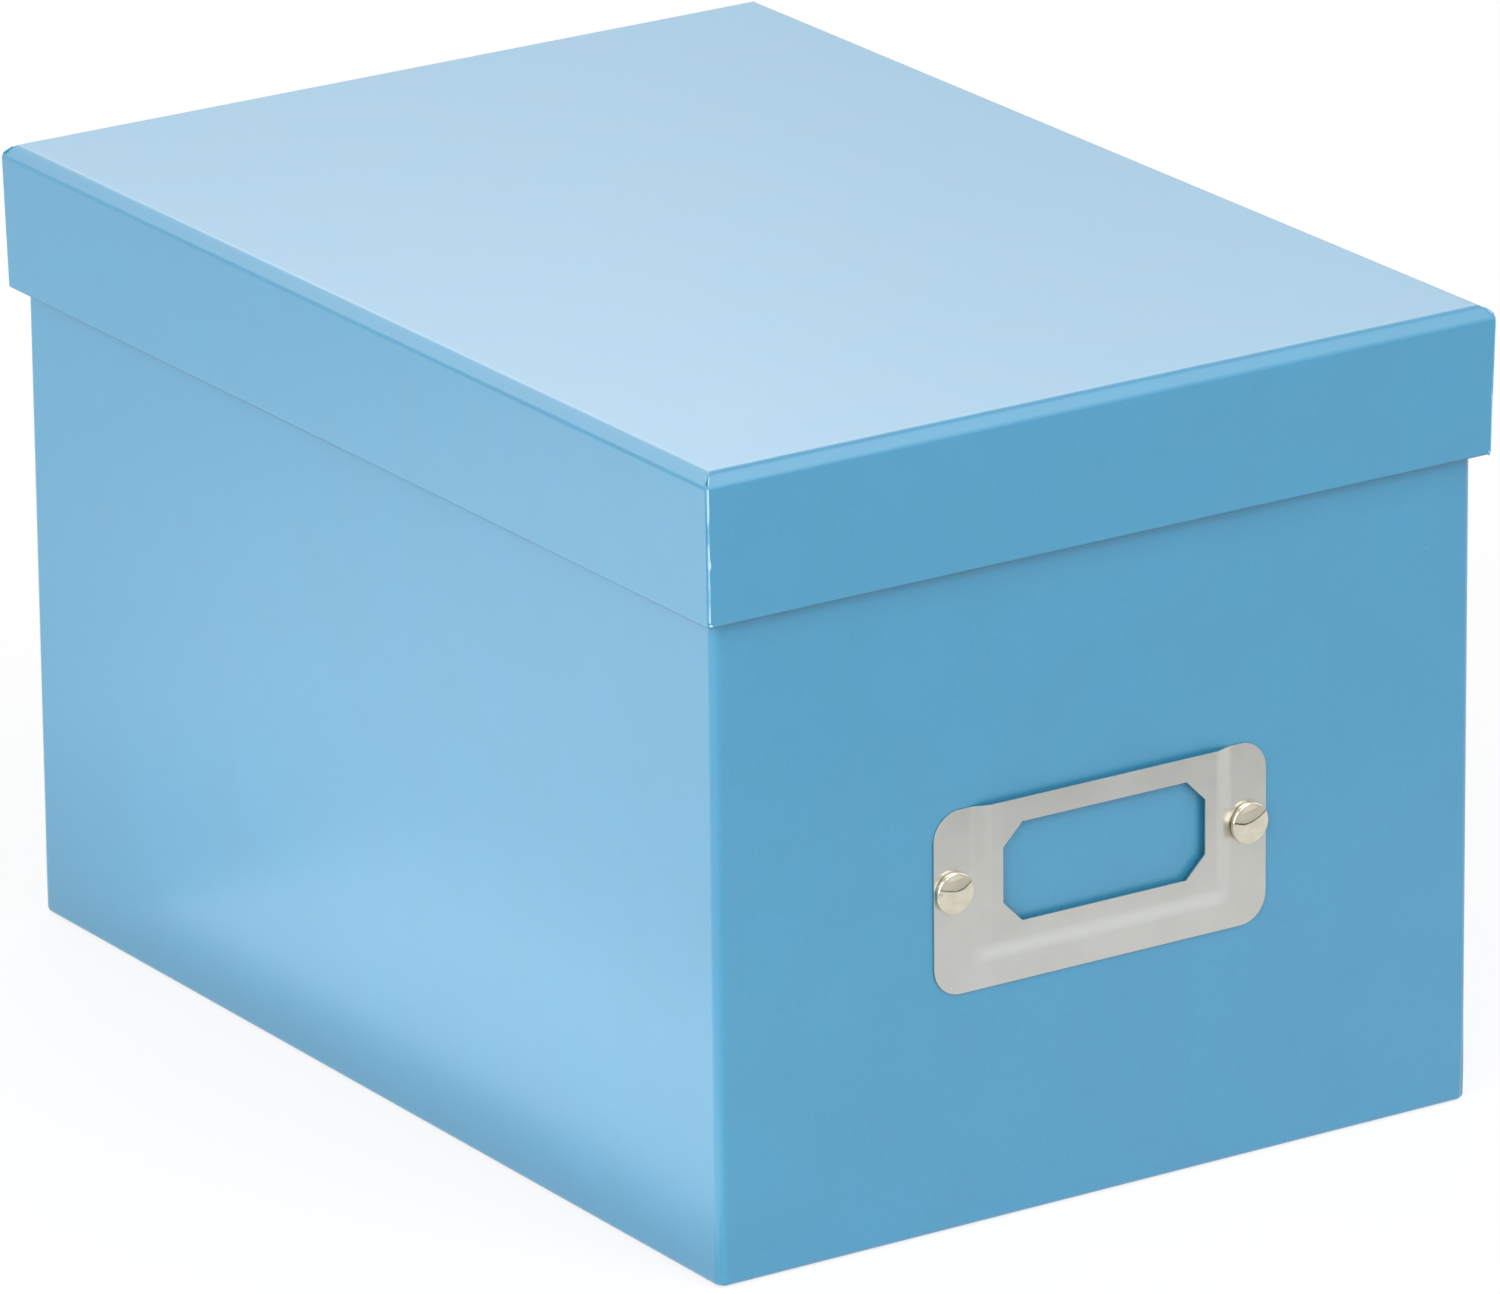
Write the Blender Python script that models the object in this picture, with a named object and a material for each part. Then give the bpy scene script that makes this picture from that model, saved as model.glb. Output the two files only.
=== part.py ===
"""Paper-covered storage box with a lift-off lid and a pressed label holder on its front.

The box stands on the XY plane with its origin under its centre. Its label side faces -Y and its
length runs along Y. Lengths are in metres and +Z is up. Each wall is a stack of layers: wrapping
paper, corner tape, greyboard and lining. A layer's place is its inset, measured inwards from the
outer face of the tray or of the lid.
"""

from math import cos, hypot, pi, sin, sqrt, tan

import bmesh
import bpy
from mathutils import Matrix, Vector

MM = 0.001

# Overall sizes
TRAY_WIDTH = 160 * MM
TRAY_LENGTH = 230 * MM
OVERALL_HEIGHT = 149.5 * MM
LID_DEPTH = 27.5 * MM

# Sheet materials
BOARD = 1.5 * MM
PAPER = 0.2 * MM
LINING = 0.15 * MM
TAPE = 0.15 * MM
GLUE_FILM = 0.05 * MM

# Fits between the lid and the tray
LID_REST_GAP = 0.3 * MM
LID_CLEARANCE = 0.3 * MM
SKIRT_LEAN = 0.5 * MM

# Corners and folds
TRAY_CORNER_RADIUS = 1.8 * MM
LID_CORNER_RADIUS = 1.2 * MM
INSIDE_CORNER_RADIUS = 0.15 * MM
EDGE_RADIUS = 0.3 * MM
BASE_EDGE_RADIUS = 0.7 * MM
LID_TOP_FOLD_RADIUS = 1.8 * MM
LID_SIDE_FOLD_RADIUS = 1.2 * MM
LID_BEVEL_SHARE = 1.43
CORNER_STEPS = 6
FOLD_STEPS = 4

# How far the sheets reach
TRAY_TURN_IN = 18 * MM
TRAY_TURN_UNDER = 12 * MM
LID_TURN_IN = 17 * MM
BASE_SHEET_MARGIN = 3 * MM
LINING_DROP = 10 * MM
LID_LINING_MARGIN = 1 * MM
STAY_REACH = 12 * MM
STAY_END_GAP = 1 * MM

# Label holder, pressed from sheet steel
STEEL = 0.4 * MM
PLATE_WIDTH = 70.5 * MM
PLATE_HEIGHT = 34 * MM
PLATE_CENTRE_HEIGHT = 61.1 * MM
PLATE_CORNER_RADIUS = 5.5 * MM
PLATE_CORNER_STEPS = 12
WINDOW_SIDE_MARGIN = 13.8 * MM
WINDOW_TOP_MARGIN = 4.35 * MM
WINDOW_BASE_MARGIN = 11.35 * MM
WINDOW_CHAMFER = 4.05 * MM
PANEL_RAISE = 1.1 * MM
PANEL_SIDE_SLOPE = 3.3 * MM
PANEL_BASE_FLANGE = 4.6 * MM
PANEL_BASE_SLOPE = 3.8 * MM
PRESSING_STEPS = 10

# Paper fasteners that hold the label holder to the front wall
FASTENER_RISE = 2.1 * MM
FASTENER_HOLE_CLEARANCE = 0.12 * MM
FASTENER_HOLE_STEPS = 24
CAP_RADIUS = 3.85 * MM
CAP_EDGE_MARGIN = 0.1 * MM
CAP_CROWN = 0.45 * MM
CAP_SHELL = 0.3 * MM
CAP_RIM_RADIUS = 0.35 * MM
CAP_MOUTH_MARGIN = 0.4 * MM
CAP_TURN_STEPS = 48
CAP_CROWN_STEPS = 6
STRIP_WIDTH = 3 * MM
STRIP_THICKNESS = 0.35 * MM
STRIP_BEND_RADIUS = 0.4 * MM
LEG_LENGTH = 9 * MM
LEG_POINT_LENGTH = 2.5 * MM
LEG_POINT_SHARE = 0.3
BEND_STEPS = 4

# How far a cutter runs past the sheets that it cuts, and how near two points are to be one
CUT_OVERRUN = 2 * MM
MERGE_DISTANCE = 0.001 * MM

# Insets of the layers, from the outer face inwards
WRAP_GAP = PAPER + GLUE_FILM
TAPE_GAP = TAPE + 2 * GLUE_FILM
BOARD_INSET = PAPER + TAPE_GAP
BOARD_BACK_INSET = BOARD_INSET + BOARD
TURN_IN_INSET = BOARD_BACK_INSET + GLUE_FILM
WALL_STACK = TURN_IN_INSET + PAPER
LINING_FACE_INSET = BOARD_BACK_INSET + GLUE_FILM + LINING
LINING_OVER_TURN_IN_INSET = WALL_STACK + GLUE_FILM + LINING

# Half sizes of the tray and of the lid
TRAY_HALF_X = TRAY_WIDTH / 2
TRAY_HALF_Y = TRAY_LENGTH / 2
LID_OVERHANG = LID_CLEARANCE + WALL_STACK + SKIRT_LEAN
LID_HALF_X = TRAY_HALF_X + LID_OVERHANG
LID_HALF_Y = TRAY_HALF_Y + LID_OVERHANG

# Heights, from the floor up
WRAP_BASE = WRAP_GAP
BOARD_BASE = WRAP_BASE + WRAP_GAP
FLOOR_LINING_TOP = BOARD_BASE + BOARD + GLUE_FILM + LINING
LID_BOARD_TOP = OVERALL_HEIGHT - WRAP_GAP
LID_BOARD_UNDERSIDE = LID_BOARD_TOP - BOARD
LID_LINING_UNDERSIDE = LID_BOARD_UNDERSIDE - GLUE_FILM - LINING
TRAY_RIM = LID_LINING_UNDERSIDE - LID_REST_GAP
SKIRT_BASE = OVERALL_HEIGHT - LID_DEPTH
LID_BEVEL = BOARD * LID_BEVEL_SHARE
SKIRT_TOP = OVERALL_HEIGHT - LID_BEVEL

# Label holder and fasteners, from the sizes above
EAR_WIDTH = 2 * (CAP_RADIUS + CAP_EDGE_MARGIN)
FASTENER_SPACING = PLATE_WIDTH - EAR_WIDTH
PANEL_FOOT_X = PLATE_WIDTH / 2 - EAR_WIDTH
WINDOW_WIDTH = PLATE_WIDTH - 2 * WINDOW_SIDE_MARGIN
WINDOW_HEIGHT = PLATE_HEIGHT - WINDOW_TOP_MARGIN - WINDOW_BASE_MARGIN
WINDOW_RISE = (WINDOW_BASE_MARGIN - WINDOW_TOP_MARGIN) / 2
FASTENER_HOLE_RADIUS = hypot(STRIP_WIDTH / 2, STRIP_THICKNESS + STRIP_BEND_RADIUS) + FASTENER_HOLE_CLEARANCE
CAP_INSIDE_RADIUS = CAP_RADIUS - CAP_SHELL
CAP_MOUTH_RADIUS = FASTENER_HOLE_RADIUS + CAP_MOUTH_MARGIN
CAP_SHOULDER = 2 * CAP_SHELL + STRIP_THICKNESS + 2 * GLUE_FILM
CAP_HEIGHT = CAP_SHOULDER + CAP_CROWN
STRIP_HEAD_REACH = sqrt((CAP_INSIDE_RADIUS - GLUE_FILM) ** 2 - (STRIP_WIDTH / 2) ** 2)

# Colours and finishes
BLUE_PAPER = {"color": (0.17, 0.43, 0.68), "roughness": 0.42, "metallic": 0.0}
WHITE_LINING = {"color": (0.82, 0.81, 0.78), "roughness": 0.75, "metallic": 0.0}
GREYBOARD = {"color": (0.42, 0.4, 0.36), "roughness": 0.9, "metallic": 0.0}
KRAFT_TAPE = {"color": (0.5, 0.34, 0.19), "roughness": 0.8, "metallic": 0.0}
PLATED_STEEL = {"color": (0.62, 0.61, 0.57), "roughness": 0.33, "metallic": 1.0}
NICKEL = {"color": (0.74, 0.69, 0.58), "roughness": 0.14, "metallic": 1.0}
SHADE_ANGLE = pi / 5

RIGHT_ANGLE = pi / 2
CORNER_SIGNS = {"back_right": (1, 1), "back_left": (-1, 1), "front_left": (-1, -1), "front_right": (1, -1)}


def clear_scene():
    """Removes whatever the file holds before the box is built."""
    for item in list(bpy.data.objects):
        bpy.data.objects.remove(item, do_unlink=True)


def material(name, finish):
    """A Principled material with one colour, roughness and metallic value."""
    made = bpy.data.materials.new(name)
    made.use_nodes = True
    shader = made.node_tree.nodes["Principled BSDF"]
    shader.inputs["Base Color"].default_value = (*finish["color"], 1.0)
    shader.inputs["Roughness"].default_value = finish["roughness"]
    shader.inputs["Metallic"].default_value = finish["metallic"]
    made.diffuse_color = (*finish["color"], 1.0)
    return made


def empty(name, location):
    """An empty that carries the pieces of one half of the box."""
    made = bpy.data.objects.new(name, None)
    made.location = location
    bpy.context.scene.collection.objects.link(made)
    return made


def solid(name, mesh_data, parent, finish=None):
    """An object from a bmesh, its faces turned outwards, parented to an empty at that empty's origin."""
    bmesh.ops.recalc_face_normals(mesh_data, faces=mesh_data.faces)
    mesh = bpy.data.meshes.new(name)
    mesh_data.to_mesh(mesh)
    mesh_data.free()
    mesh.shade_smooth()
    mesh.set_sharp_from_angle(angle=SHADE_ANGLE)
    made = bpy.data.objects.new(name, mesh)
    made.parent = parent
    bpy.context.scene.collection.objects.link(made)
    if finish:
        mesh.materials.append(material(name, finish))
    return made


def cutter(name, mesh_data, parent):
    """A helper solid that only cuts others."""
    made = solid(name, mesh_data, parent)
    made.hide_render = True
    made.display_type = "WIRE"
    return made


def cut(target, tool, operation="DIFFERENCE"):
    """Adds an exact Boolean to the target."""
    modifier = target.modifiers.new(tool.name, "BOOLEAN")
    modifier.operation = operation
    modifier.solver = "EXACT"
    modifier.object = tool


def arc(centre, start, end, steps):
    """Points round a centre from start to end, both at the same distance and under half a turn apart."""
    radius = (start - centre).length
    first = (start - centre).normalized()
    last = (end - centre).normalized()
    return [centre + first.slerp(last, step / steps) * radius for step in range(steps + 1)]


def filleted(corners, steps):
    """A path through (x, y, radius) corners, each inner one rounded to its radius."""
    points = [Vector(corner[:2]) for corner in corners]
    path = [points[0]]
    for before, at, after, corner in zip(points, points[1:], points[2:], corners[1:]):
        to_before = (before - at).normalized()
        to_after = (after - at).normalized()
        half_angle = to_before.angle(to_after) / 2
        if not corner[2]:
            path.append(at)
            continue
        reach = corner[2] / tan(half_angle)
        centre = at + (to_before + to_after).normalized() * corner[2] / sin(half_angle)
        path.extend(arc(centre, at + to_before * reach, at + to_after * reach, steps))
    return path + [points[-1]]


def offset(path, distance):
    """The path moved sideways, to the left of its direction where the distance is positive."""
    moved = []
    for index, point in enumerate(path):
        before = path[max(index - 1, 0)]
        after = path[min(index + 1, len(path) - 1)]
        arriving = (point - before if index else after - point).normalized()
        leaving = (after - point if after != point else point - before).normalized()
        left = Vector((-arriving.y - leaving.y, arriving.x + leaving.x)).normalized()
        lean = left.dot(Vector((-arriving.y, arriving.x)))
        moved.append(point + left * (distance / lean))
    return moved


def sheet_profile(path, thickness):
    """The outline of a sheet of the given thickness, whose visible face runs along the path."""
    return path + list(reversed(offset(path, thickness)))


def plan_corner(centre_x, centre_y, radius, quarter):
    """The points of one rounded corner, anticlockwise, starting a quarter turn times the given count."""
    turns = [(quarter + step / CORNER_STEPS) * RIGHT_ANGLE for step in range(CORNER_STEPS + 1)]
    return [(centre_x + radius * cos(turn), centre_y + radius * sin(turn)) for turn in turns]


def plan_ring(half_x, half_y, corner_radius, inset):
    """A rounded rectangle seen from above, drawn inwards by the inset."""
    radius = max(corner_radius - inset, INSIDE_CORNER_RADIUS)
    reach_x = half_x - inset - radius
    reach_y = half_y - inset - radius
    ring = []
    for quarter, (sign_x, sign_y) in enumerate(CORNER_SIGNS.values()):
        ring.extend(plan_corner(sign_x * reach_x, sign_y * reach_y, radius, quarter))
    return ring


def loft(half_x, half_y, corner_radius, profile, capped):
    """A bmesh whose (inset, height) profile runs round a rounded rectangle, with end caps or as a closed band."""
    made = bmesh.new()
    rings = []
    for inset, height in profile:
        plan = plan_ring(half_x, half_y, corner_radius, inset)
        rings.append([made.verts.new((x, y, height)) for x, y in plan])
    following = rings[1:] if capped else rings[1:] + rings[:1]
    for ring, upper in zip(rings, following):
        for index in range(len(ring)):
            side = (index + 1) % len(ring)
            made.faces.new((ring[index], ring[side], upper[side], upper[index]))
    if capped:
        made.faces.new(rings[0])
        made.faces.new(rings[-1])
    return made


def prism(outline, low, high):
    """A bmesh prism of an XY outline from one height to another."""
    made = bmesh.new()
    base = made.faces.new([made.verts.new((x, y, low)) for x, y in outline])
    grown = bmesh.ops.extrude_face_region(made, geom=[base])
    raised = [item for item in grown["geom"] if isinstance(item, bmesh.types.BMVert)]
    bmesh.ops.translate(made, verts=raised, vec=(0, 0, high - low))
    return made


def skirt_lean(height):
    """How far the lid's skirt has leaned inwards at a height."""
    return SKIRT_LEAN * (SKIRT_TOP - height) / (SKIRT_TOP - SKIRT_BASE)


def tray_board(parent):
    """The folded greyboard shell of the tray: a floor and four walls."""
    floor_top = BOARD_BASE + BOARD
    rim = TRAY_RIM - WRAP_GAP
    outline = filleted(
        [
            (BOARD_BACK_INSET + BOARD, BOARD_BASE, 0),
            (BOARD_INSET, BOARD_BASE, BASE_EDGE_RADIUS),
            (BOARD_INSET, rim, EDGE_RADIUS),
            (BOARD_BACK_INSET, rim, EDGE_RADIUS),
            (BOARD_BACK_INSET, floor_top, 0),
        ],
        FOLD_STEPS,
    )
    shell = loft(TRAY_HALF_X, TRAY_HALF_Y, TRAY_CORNER_RADIUS, outline, capped=True)
    return solid("tray_board", shell, parent, GREYBOARD)


def tray_wrap(parent):
    """The band of paper round the walls, turned in over the rim and under the floor."""
    fold = EDGE_RADIUS + PAPER
    face = filleted(
        [
            (TRAY_TURN_UNDER, WRAP_BASE, 0),
            (0, WRAP_BASE, BASE_EDGE_RADIUS + PAPER),
            (0, TRAY_RIM, fold),
            (WALL_STACK, TRAY_RIM, fold),
            (WALL_STACK, TRAY_RIM - TRAY_TURN_IN, 0),
        ],
        FOLD_STEPS,
    )
    band = loft(TRAY_HALF_X, TRAY_HALF_Y, TRAY_CORNER_RADIUS, sheet_profile(face, -PAPER), capped=False)
    return solid("tray_wrap", band, parent, BLUE_PAPER)


def tray_base_sheet(parent):
    """The sheet under the floor that hides the turned-under paper and carries the box."""
    sheet = [(BASE_SHEET_MARGIN, 0), (BASE_SHEET_MARGIN, PAPER)]
    made = loft(TRAY_HALF_X, TRAY_HALF_Y, TRAY_CORNER_RADIUS, sheet, capped=True)
    return solid("tray_base_sheet", made, parent, BLUE_PAPER)


def tray_liner(parent):
    """The lining of the floor and the walls, which steps in over the turned-in wrap near the rim."""
    jog = LINING_OVER_TURN_IN_INSET - LINING_FACE_INSET
    jog_top = TRAY_RIM - TRAY_TURN_IN - jog
    face = filleted(
        [
            (LINING_FACE_INSET + BOARD, FLOOR_LINING_TOP, 0),
            (LINING_FACE_INSET, FLOOR_LINING_TOP, 0),
            (LINING_FACE_INSET, jog_top - jog, 0),
            (LINING_OVER_TURN_IN_INSET, jog_top, 0),
            (LINING_OVER_TURN_IN_INSET, TRAY_RIM - LINING_DROP, 0),
        ],
        FOLD_STEPS,
    )
    made = loft(TRAY_HALF_X, TRAY_HALF_Y, TRAY_CORNER_RADIUS, sheet_profile(face, LINING), capped=True)
    return solid("tray_liner", made, parent, WHITE_LINING)


def lid_board(parent):
    """The folded greyboard of the lid: a top and four skirts that lean in, with crushed, bevelled folds."""
    base = SKIRT_BASE + WRAP_GAP
    fold = LID_BOARD_TOP - LID_BEVEL
    back = BOARD_BACK_INSET
    outline = filleted(
        [
            (back + LID_BEVEL + BOARD, LID_BOARD_TOP, 0),
            (BOARD_INSET + LID_BEVEL, LID_BOARD_TOP, LID_TOP_FOLD_RADIUS - WRAP_GAP),
            (BOARD_INSET + skirt_lean(fold), fold, LID_SIDE_FOLD_RADIUS - WRAP_GAP),
            (BOARD_INSET + skirt_lean(base), base, EDGE_RADIUS),
            (back + skirt_lean(base), base, EDGE_RADIUS),
            (back + skirt_lean(LID_BOARD_UNDERSIDE), LID_BOARD_UNDERSIDE, 0),
            (back + LID_BEVEL + BOARD, LID_BOARD_UNDERSIDE, 0),
        ],
        FOLD_STEPS,
    )
    shell = loft(LID_HALF_X, LID_HALF_Y, LID_CORNER_RADIUS, outline, capped=True)
    return solid("lid_board", shell, parent, GREYBOARD)


def lid_wrap(parent):
    """The paper over the lid's top and skirts, turned in round their lower edges."""
    fold = EDGE_RADIUS + PAPER
    turned_in = SKIRT_BASE + LID_TURN_IN
    face = filleted(
        [
            (LID_BEVEL + BOARD, OVERALL_HEIGHT, 0),
            (LID_BEVEL, OVERALL_HEIGHT, LID_TOP_FOLD_RADIUS),
            (0, SKIRT_TOP, LID_SIDE_FOLD_RADIUS),
            (skirt_lean(SKIRT_BASE), SKIRT_BASE, fold),
            (skirt_lean(SKIRT_BASE) + WALL_STACK, SKIRT_BASE, fold),
            (skirt_lean(turned_in) + WALL_STACK, turned_in, 0),
        ],
        FOLD_STEPS,
    )
    made = loft(LID_HALF_X, LID_HALF_Y, LID_CORNER_RADIUS, sheet_profile(face, PAPER), capped=True)
    return solid("lid_wrap", made, parent, BLUE_PAPER)


def lid_liner(parent):
    """The flat lining under the lid's top."""
    inset = BOARD_BACK_INSET + LID_LINING_MARGIN
    sheet = [(inset, LID_LINING_UNDERSIDE), (inset, LID_LINING_UNDERSIDE + LINING)]
    made = loft(LID_HALF_X, LID_HALF_Y, LID_CORNER_RADIUS, sheet, capped=True)
    return solid("lid_liner", made, parent, WHITE_LINING)


def stay_path(corner_radius, inset):
    """The plan of a strip of tape round one corner, whose sharp corner is the origin and legs run to -X and -Y."""
    radius = max(corner_radius - inset, INSIDE_CORNER_RADIUS)
    corner = [(-STAY_REACH, -inset, 0), (-inset, -inset, radius), (-inset, -STAY_REACH, 0)]
    return filleted(corner, CORNER_STEPS)


def corner_stay(corner_radius, low, high, lean_low, lean_high):
    """A bmesh of the tape that joins two walls, between two heights, leaning with them."""
    made = bmesh.new()
    front = WRAP_GAP
    back = front + TAPE
    edges = ((front, low, lean_low), (front, high, lean_high), (back, high, lean_high), (back, low, lean_low))
    strands = []
    for inset, height, lean in edges:
        shift = Vector((-lean, -lean))
        path = [point + shift for point in stay_path(corner_radius - lean, inset)]
        strands.append([made.verts.new((point.x, point.y, height)) for point in path])
    for strand, beside in zip(strands, strands[1:] + strands[:1]):
        for index in range(len(strand) - 1):
            made.faces.new((strand[index], strand[index + 1], beside[index + 1], beside[index]))
    made.faces.new([strand[0] for strand in strands])
    made.faces.new([strand[-1] for strand in strands])
    return made


def corner_stays(prefix, parent, half_x, half_y, strip):
    """Four copies of a strip of corner tape, each turned a quarter further and set on its corner."""
    made = solid(f"{prefix}_back_right", strip, parent, KRAFT_TAPE)
    mesh = made.data
    for quarter, (corner, (sign_x, sign_y)) in enumerate(CORNER_SIGNS.items()):
        if quarter:
            made = bpy.data.objects.new(f"{prefix}_{corner}", mesh.copy())
            made.parent = parent
            bpy.context.scene.collection.objects.link(made)
        made.location = (sign_x * half_x, sign_y * half_y, 0)
        made.rotation_euler = (0, 0, quarter * RIGHT_ANGLE)


def tray_corner_stays(parent):
    """The tape over the tray's four upright board joints."""
    low = BOARD_BASE + BASE_EDGE_RADIUS + STAY_END_GAP
    high = TRAY_RIM - WRAP_GAP - STAY_END_GAP
    strip = corner_stay(TRAY_CORNER_RADIUS, low, high, 0, 0)
    corner_stays("tray_corner_stay", parent, TRAY_HALF_X, TRAY_HALF_Y, strip)


def lid_corner_stays(parent):
    """The tape over the lid's four board joints, leaning with its skirts."""
    low = SKIRT_BASE + WRAP_GAP + STAY_END_GAP
    high = SKIRT_TOP - STAY_END_GAP
    strip = corner_stay(LID_CORNER_RADIUS, low, high, skirt_lean(low), skirt_lean(high))
    corner_stays("lid_corner_stay", parent, LID_HALF_X, LID_HALF_Y, strip)


def eased(share):
    """A share from 0 to 1, eased at both ends, as sheet metal bends."""
    held = min(max(share, 0), 1)
    return held * held * (3 - 2 * held)


def pressed_height(x, y):
    """How far the label holder's back stands off the wall, at a point from the plate's centre."""
    side = (PANEL_FOOT_X - abs(x)) / PANEL_SIDE_SLOPE
    base = (y + PLATE_HEIGHT / 2 - PANEL_BASE_FLANGE) / PANEL_BASE_SLOPE
    return PANEL_RAISE * eased(side) * eased(base)


def slope_lines(foot, slope):
    """Places across a pressed slope, from its foot to its shoulder."""
    return [foot + slope * step / PRESSING_STEPS for step in range(PRESSING_STEPS + 1)]


def pressed_sheet():
    """A bmesh of the pressed steel before it is trimmed: flat ears, a raised panel and eased slopes between."""
    edge_x = PLATE_WIDTH / 2 + CUT_OVERRUN
    edge_y = PLATE_HEIGHT / 2 + CUT_OVERRUN
    left = slope_lines(-PANEL_FOOT_X, PANEL_SIDE_SLOPE)
    columns = [-edge_x] + left + [-x for x in reversed(left)] + [edge_x]
    rows = [-edge_y] + slope_lines(PANEL_BASE_FLANGE - PLATE_HEIGHT / 2, PANEL_BASE_SLOPE) + [edge_y]
    made = bmesh.new()
    net = [[made.verts.new((x, y, pressed_height(x, y))) for x in columns] for y in rows]
    for low, high in zip(net, net[1:]):
        for index in range(len(columns) - 1):
            made.faces.new((low[index], low[index + 1], high[index + 1], high[index]))
    grown = bmesh.ops.extrude_face_region(made, geom=made.faces[:])
    raised = [item for item in grown["geom"] if isinstance(item, bmesh.types.BMVert)]
    bmesh.ops.translate(made, verts=raised, vec=(0, 0, STEEL))
    return made


def plate_outline():
    """The label holder's outline, a rectangle with rounded corners."""
    half_x = PLATE_WIDTH / 2
    half_y = PLATE_HEIGHT / 2
    radius = PLATE_CORNER_RADIUS
    corners = [(sign_x * half_x, sign_y * half_y, radius) for sign_x, sign_y in CORNER_SIGNS.values()]
    seam = (0, half_y, 0)
    closed = filleted([seam] + corners[1:] + corners[:1] + [seam], PLATE_CORNER_STEPS)
    return closed[:-1]


def window_outline():
    """The window: a rectangle with its corners cut off."""
    half_x = WINDOW_WIDTH / 2
    half_y = WINDOW_HEIGHT / 2
    outline = []
    for sign_x, sign_y in CORNER_SIGNS.values():
        on_side = (sign_x * half_x, WINDOW_RISE + sign_y * (half_y - WINDOW_CHAMFER))
        on_end = (sign_x * (half_x - WINDOW_CHAMFER), WINDOW_RISE + sign_y * half_y)
        outline.extend([on_side, on_end] if sign_x == sign_y else [on_end, on_side])
    return outline


def label_frame(parent, hole_cutters):
    """The pressed label holder: trimmed to its outline, with a window and two fastener holes."""
    made = solid("label_frame", pressed_sheet(), parent, PLATED_STEEL)
    low = -CUT_OVERRUN
    high = PANEL_RAISE + STEEL + CUT_OVERRUN
    cut(made, cutter("label_outline_cutter", prism(plate_outline(), low, high), parent), "INTERSECT")
    cut(made, cutter("label_window_cutter", prism(window_outline(), low, high), parent))
    for tool in hole_cutters:
        cut(made, tool)
    return made


def turned(profile, steps):
    """A bmesh of a (radius, height) profile turned round Z, its two ends on the axis."""
    made = bmesh.new()
    points = [made.verts.new((radius, 0, height)) for radius, height in profile]
    edges = [made.edges.new(pair) for pair in zip(points, points[1:])]
    bmesh.ops.spin(
        made,
        geom=points + edges,
        cent=(0, 0, 0),
        axis=(0, 0, 1),
        dvec=(0, 0, 0),
        angle=2 * pi,
        steps=steps,
        use_merge=True,
    )
    return made


def crown(radius, height, rise):
    """Points of a shallow dome from its edge to its middle, less its last point on the axis."""
    ball = (radius * radius + rise * rise) / (2 * rise)
    span = [radius * (1 - step / CAP_CROWN_STEPS) for step in range(CAP_CROWN_STEPS)]
    return [(x, height - ball + (ball * ball - x * x) ** 0.5) for x in span]


def fastener_cap():
    """A bmesh of the fastener's domed cap, a thin shell whose rim turns in below the strip's head."""
    foot = [
        (CAP_MOUTH_RADIUS, 0, 0),
        (CAP_RADIUS, 0, CAP_RIM_RADIUS),
        (CAP_RADIUS, CAP_SHOULDER, CAP_RIM_RADIUS),
        (0, CAP_SHOULDER, 0),
    ]
    outer = [tuple(point) for point in filleted(foot, FOLD_STEPS)[:-1]]
    outer += crown(CAP_RADIUS - CAP_RIM_RADIUS, CAP_HEIGHT, CAP_CROWN)[1:]
    inner = [(CAP_MOUTH_RADIUS, CAP_SHELL), (CAP_INSIDE_RADIUS, CAP_SHELL)]
    inner += crown(CAP_INSIDE_RADIUS, CAP_HEIGHT - CAP_SHELL, CAP_CROWN)
    profile = [(0, CAP_HEIGHT)] + list(reversed(outer)) + inner + [(0, CAP_HEIGHT - CAP_SHELL)]
    made = turned(profile, CAP_TURN_STEPS)
    bmesh.ops.remove_doubles(made, verts=made.verts, dist=MERGE_DISTANCE)
    return made


def strip_half(head_low, head_high, wall):
    """The right half of the folded strip's side view, from the top of its head round to the slit between its legs."""
    bend = STRIP_BEND_RADIUS
    heel = STRIP_THICKNESS + bend
    outer = bend + STRIP_THICKNESS
    centre = Vector((heel, wall + bend))
    inside = arc(centre, Vector((STRIP_THICKNESS, wall + bend)), Vector((heel, wall)), BEND_STEPS)
    outside = arc(centre, Vector((heel, wall - STRIP_THICKNESS)), Vector((heel - outer, wall + bend)), BEND_STEPS)
    half = [(STRIP_HEAD_REACH, head_high), (STRIP_HEAD_REACH, head_low), (STRIP_THICKNESS, head_low)]
    half += [tuple(point) for point in inside]
    half += [(LEG_LENGTH, wall), (LEG_LENGTH, wall - STRIP_THICKNESS)]
    half += [tuple(point) for point in outside]
    return half


def fastener_strip(wall):
    """A bmesh of the folded strip: a head held in the cap, a shank through the wall and two spread, pointed legs."""
    head_low = CAP_SHELL + GLUE_FILM
    head_high = head_low + STRIP_THICKNESS
    half = strip_half(head_low, head_high, wall)
    mirrored = [(-x, height) for x, height in reversed(half[:-1])]
    made = prism(half + mirrored, -STRIP_WIDTH / 2, STRIP_WIDTH / 2)
    for neck in (LEG_POINT_LENGTH - LEG_LENGTH, LEG_LENGTH - LEG_POINT_LENGTH):
        everything = made.verts[:] + made.edges[:] + made.faces[:]
        bmesh.ops.bisect_plane(made, geom=everything, plane_co=(neck, 0, 0), plane_no=(1, 0, 0))
    for vertex in made.verts:
        if abs(vertex.co.x) > LEG_LENGTH - MERGE_DISTANCE:
            vertex.co.z *= LEG_POINT_SHARE
    bmesh.ops.rotate(made, verts=made.verts, cent=(0, 0, 0), matrix=Matrix.Rotation(RIGHT_ANGLE, 3, "X"))
    return made


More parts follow.
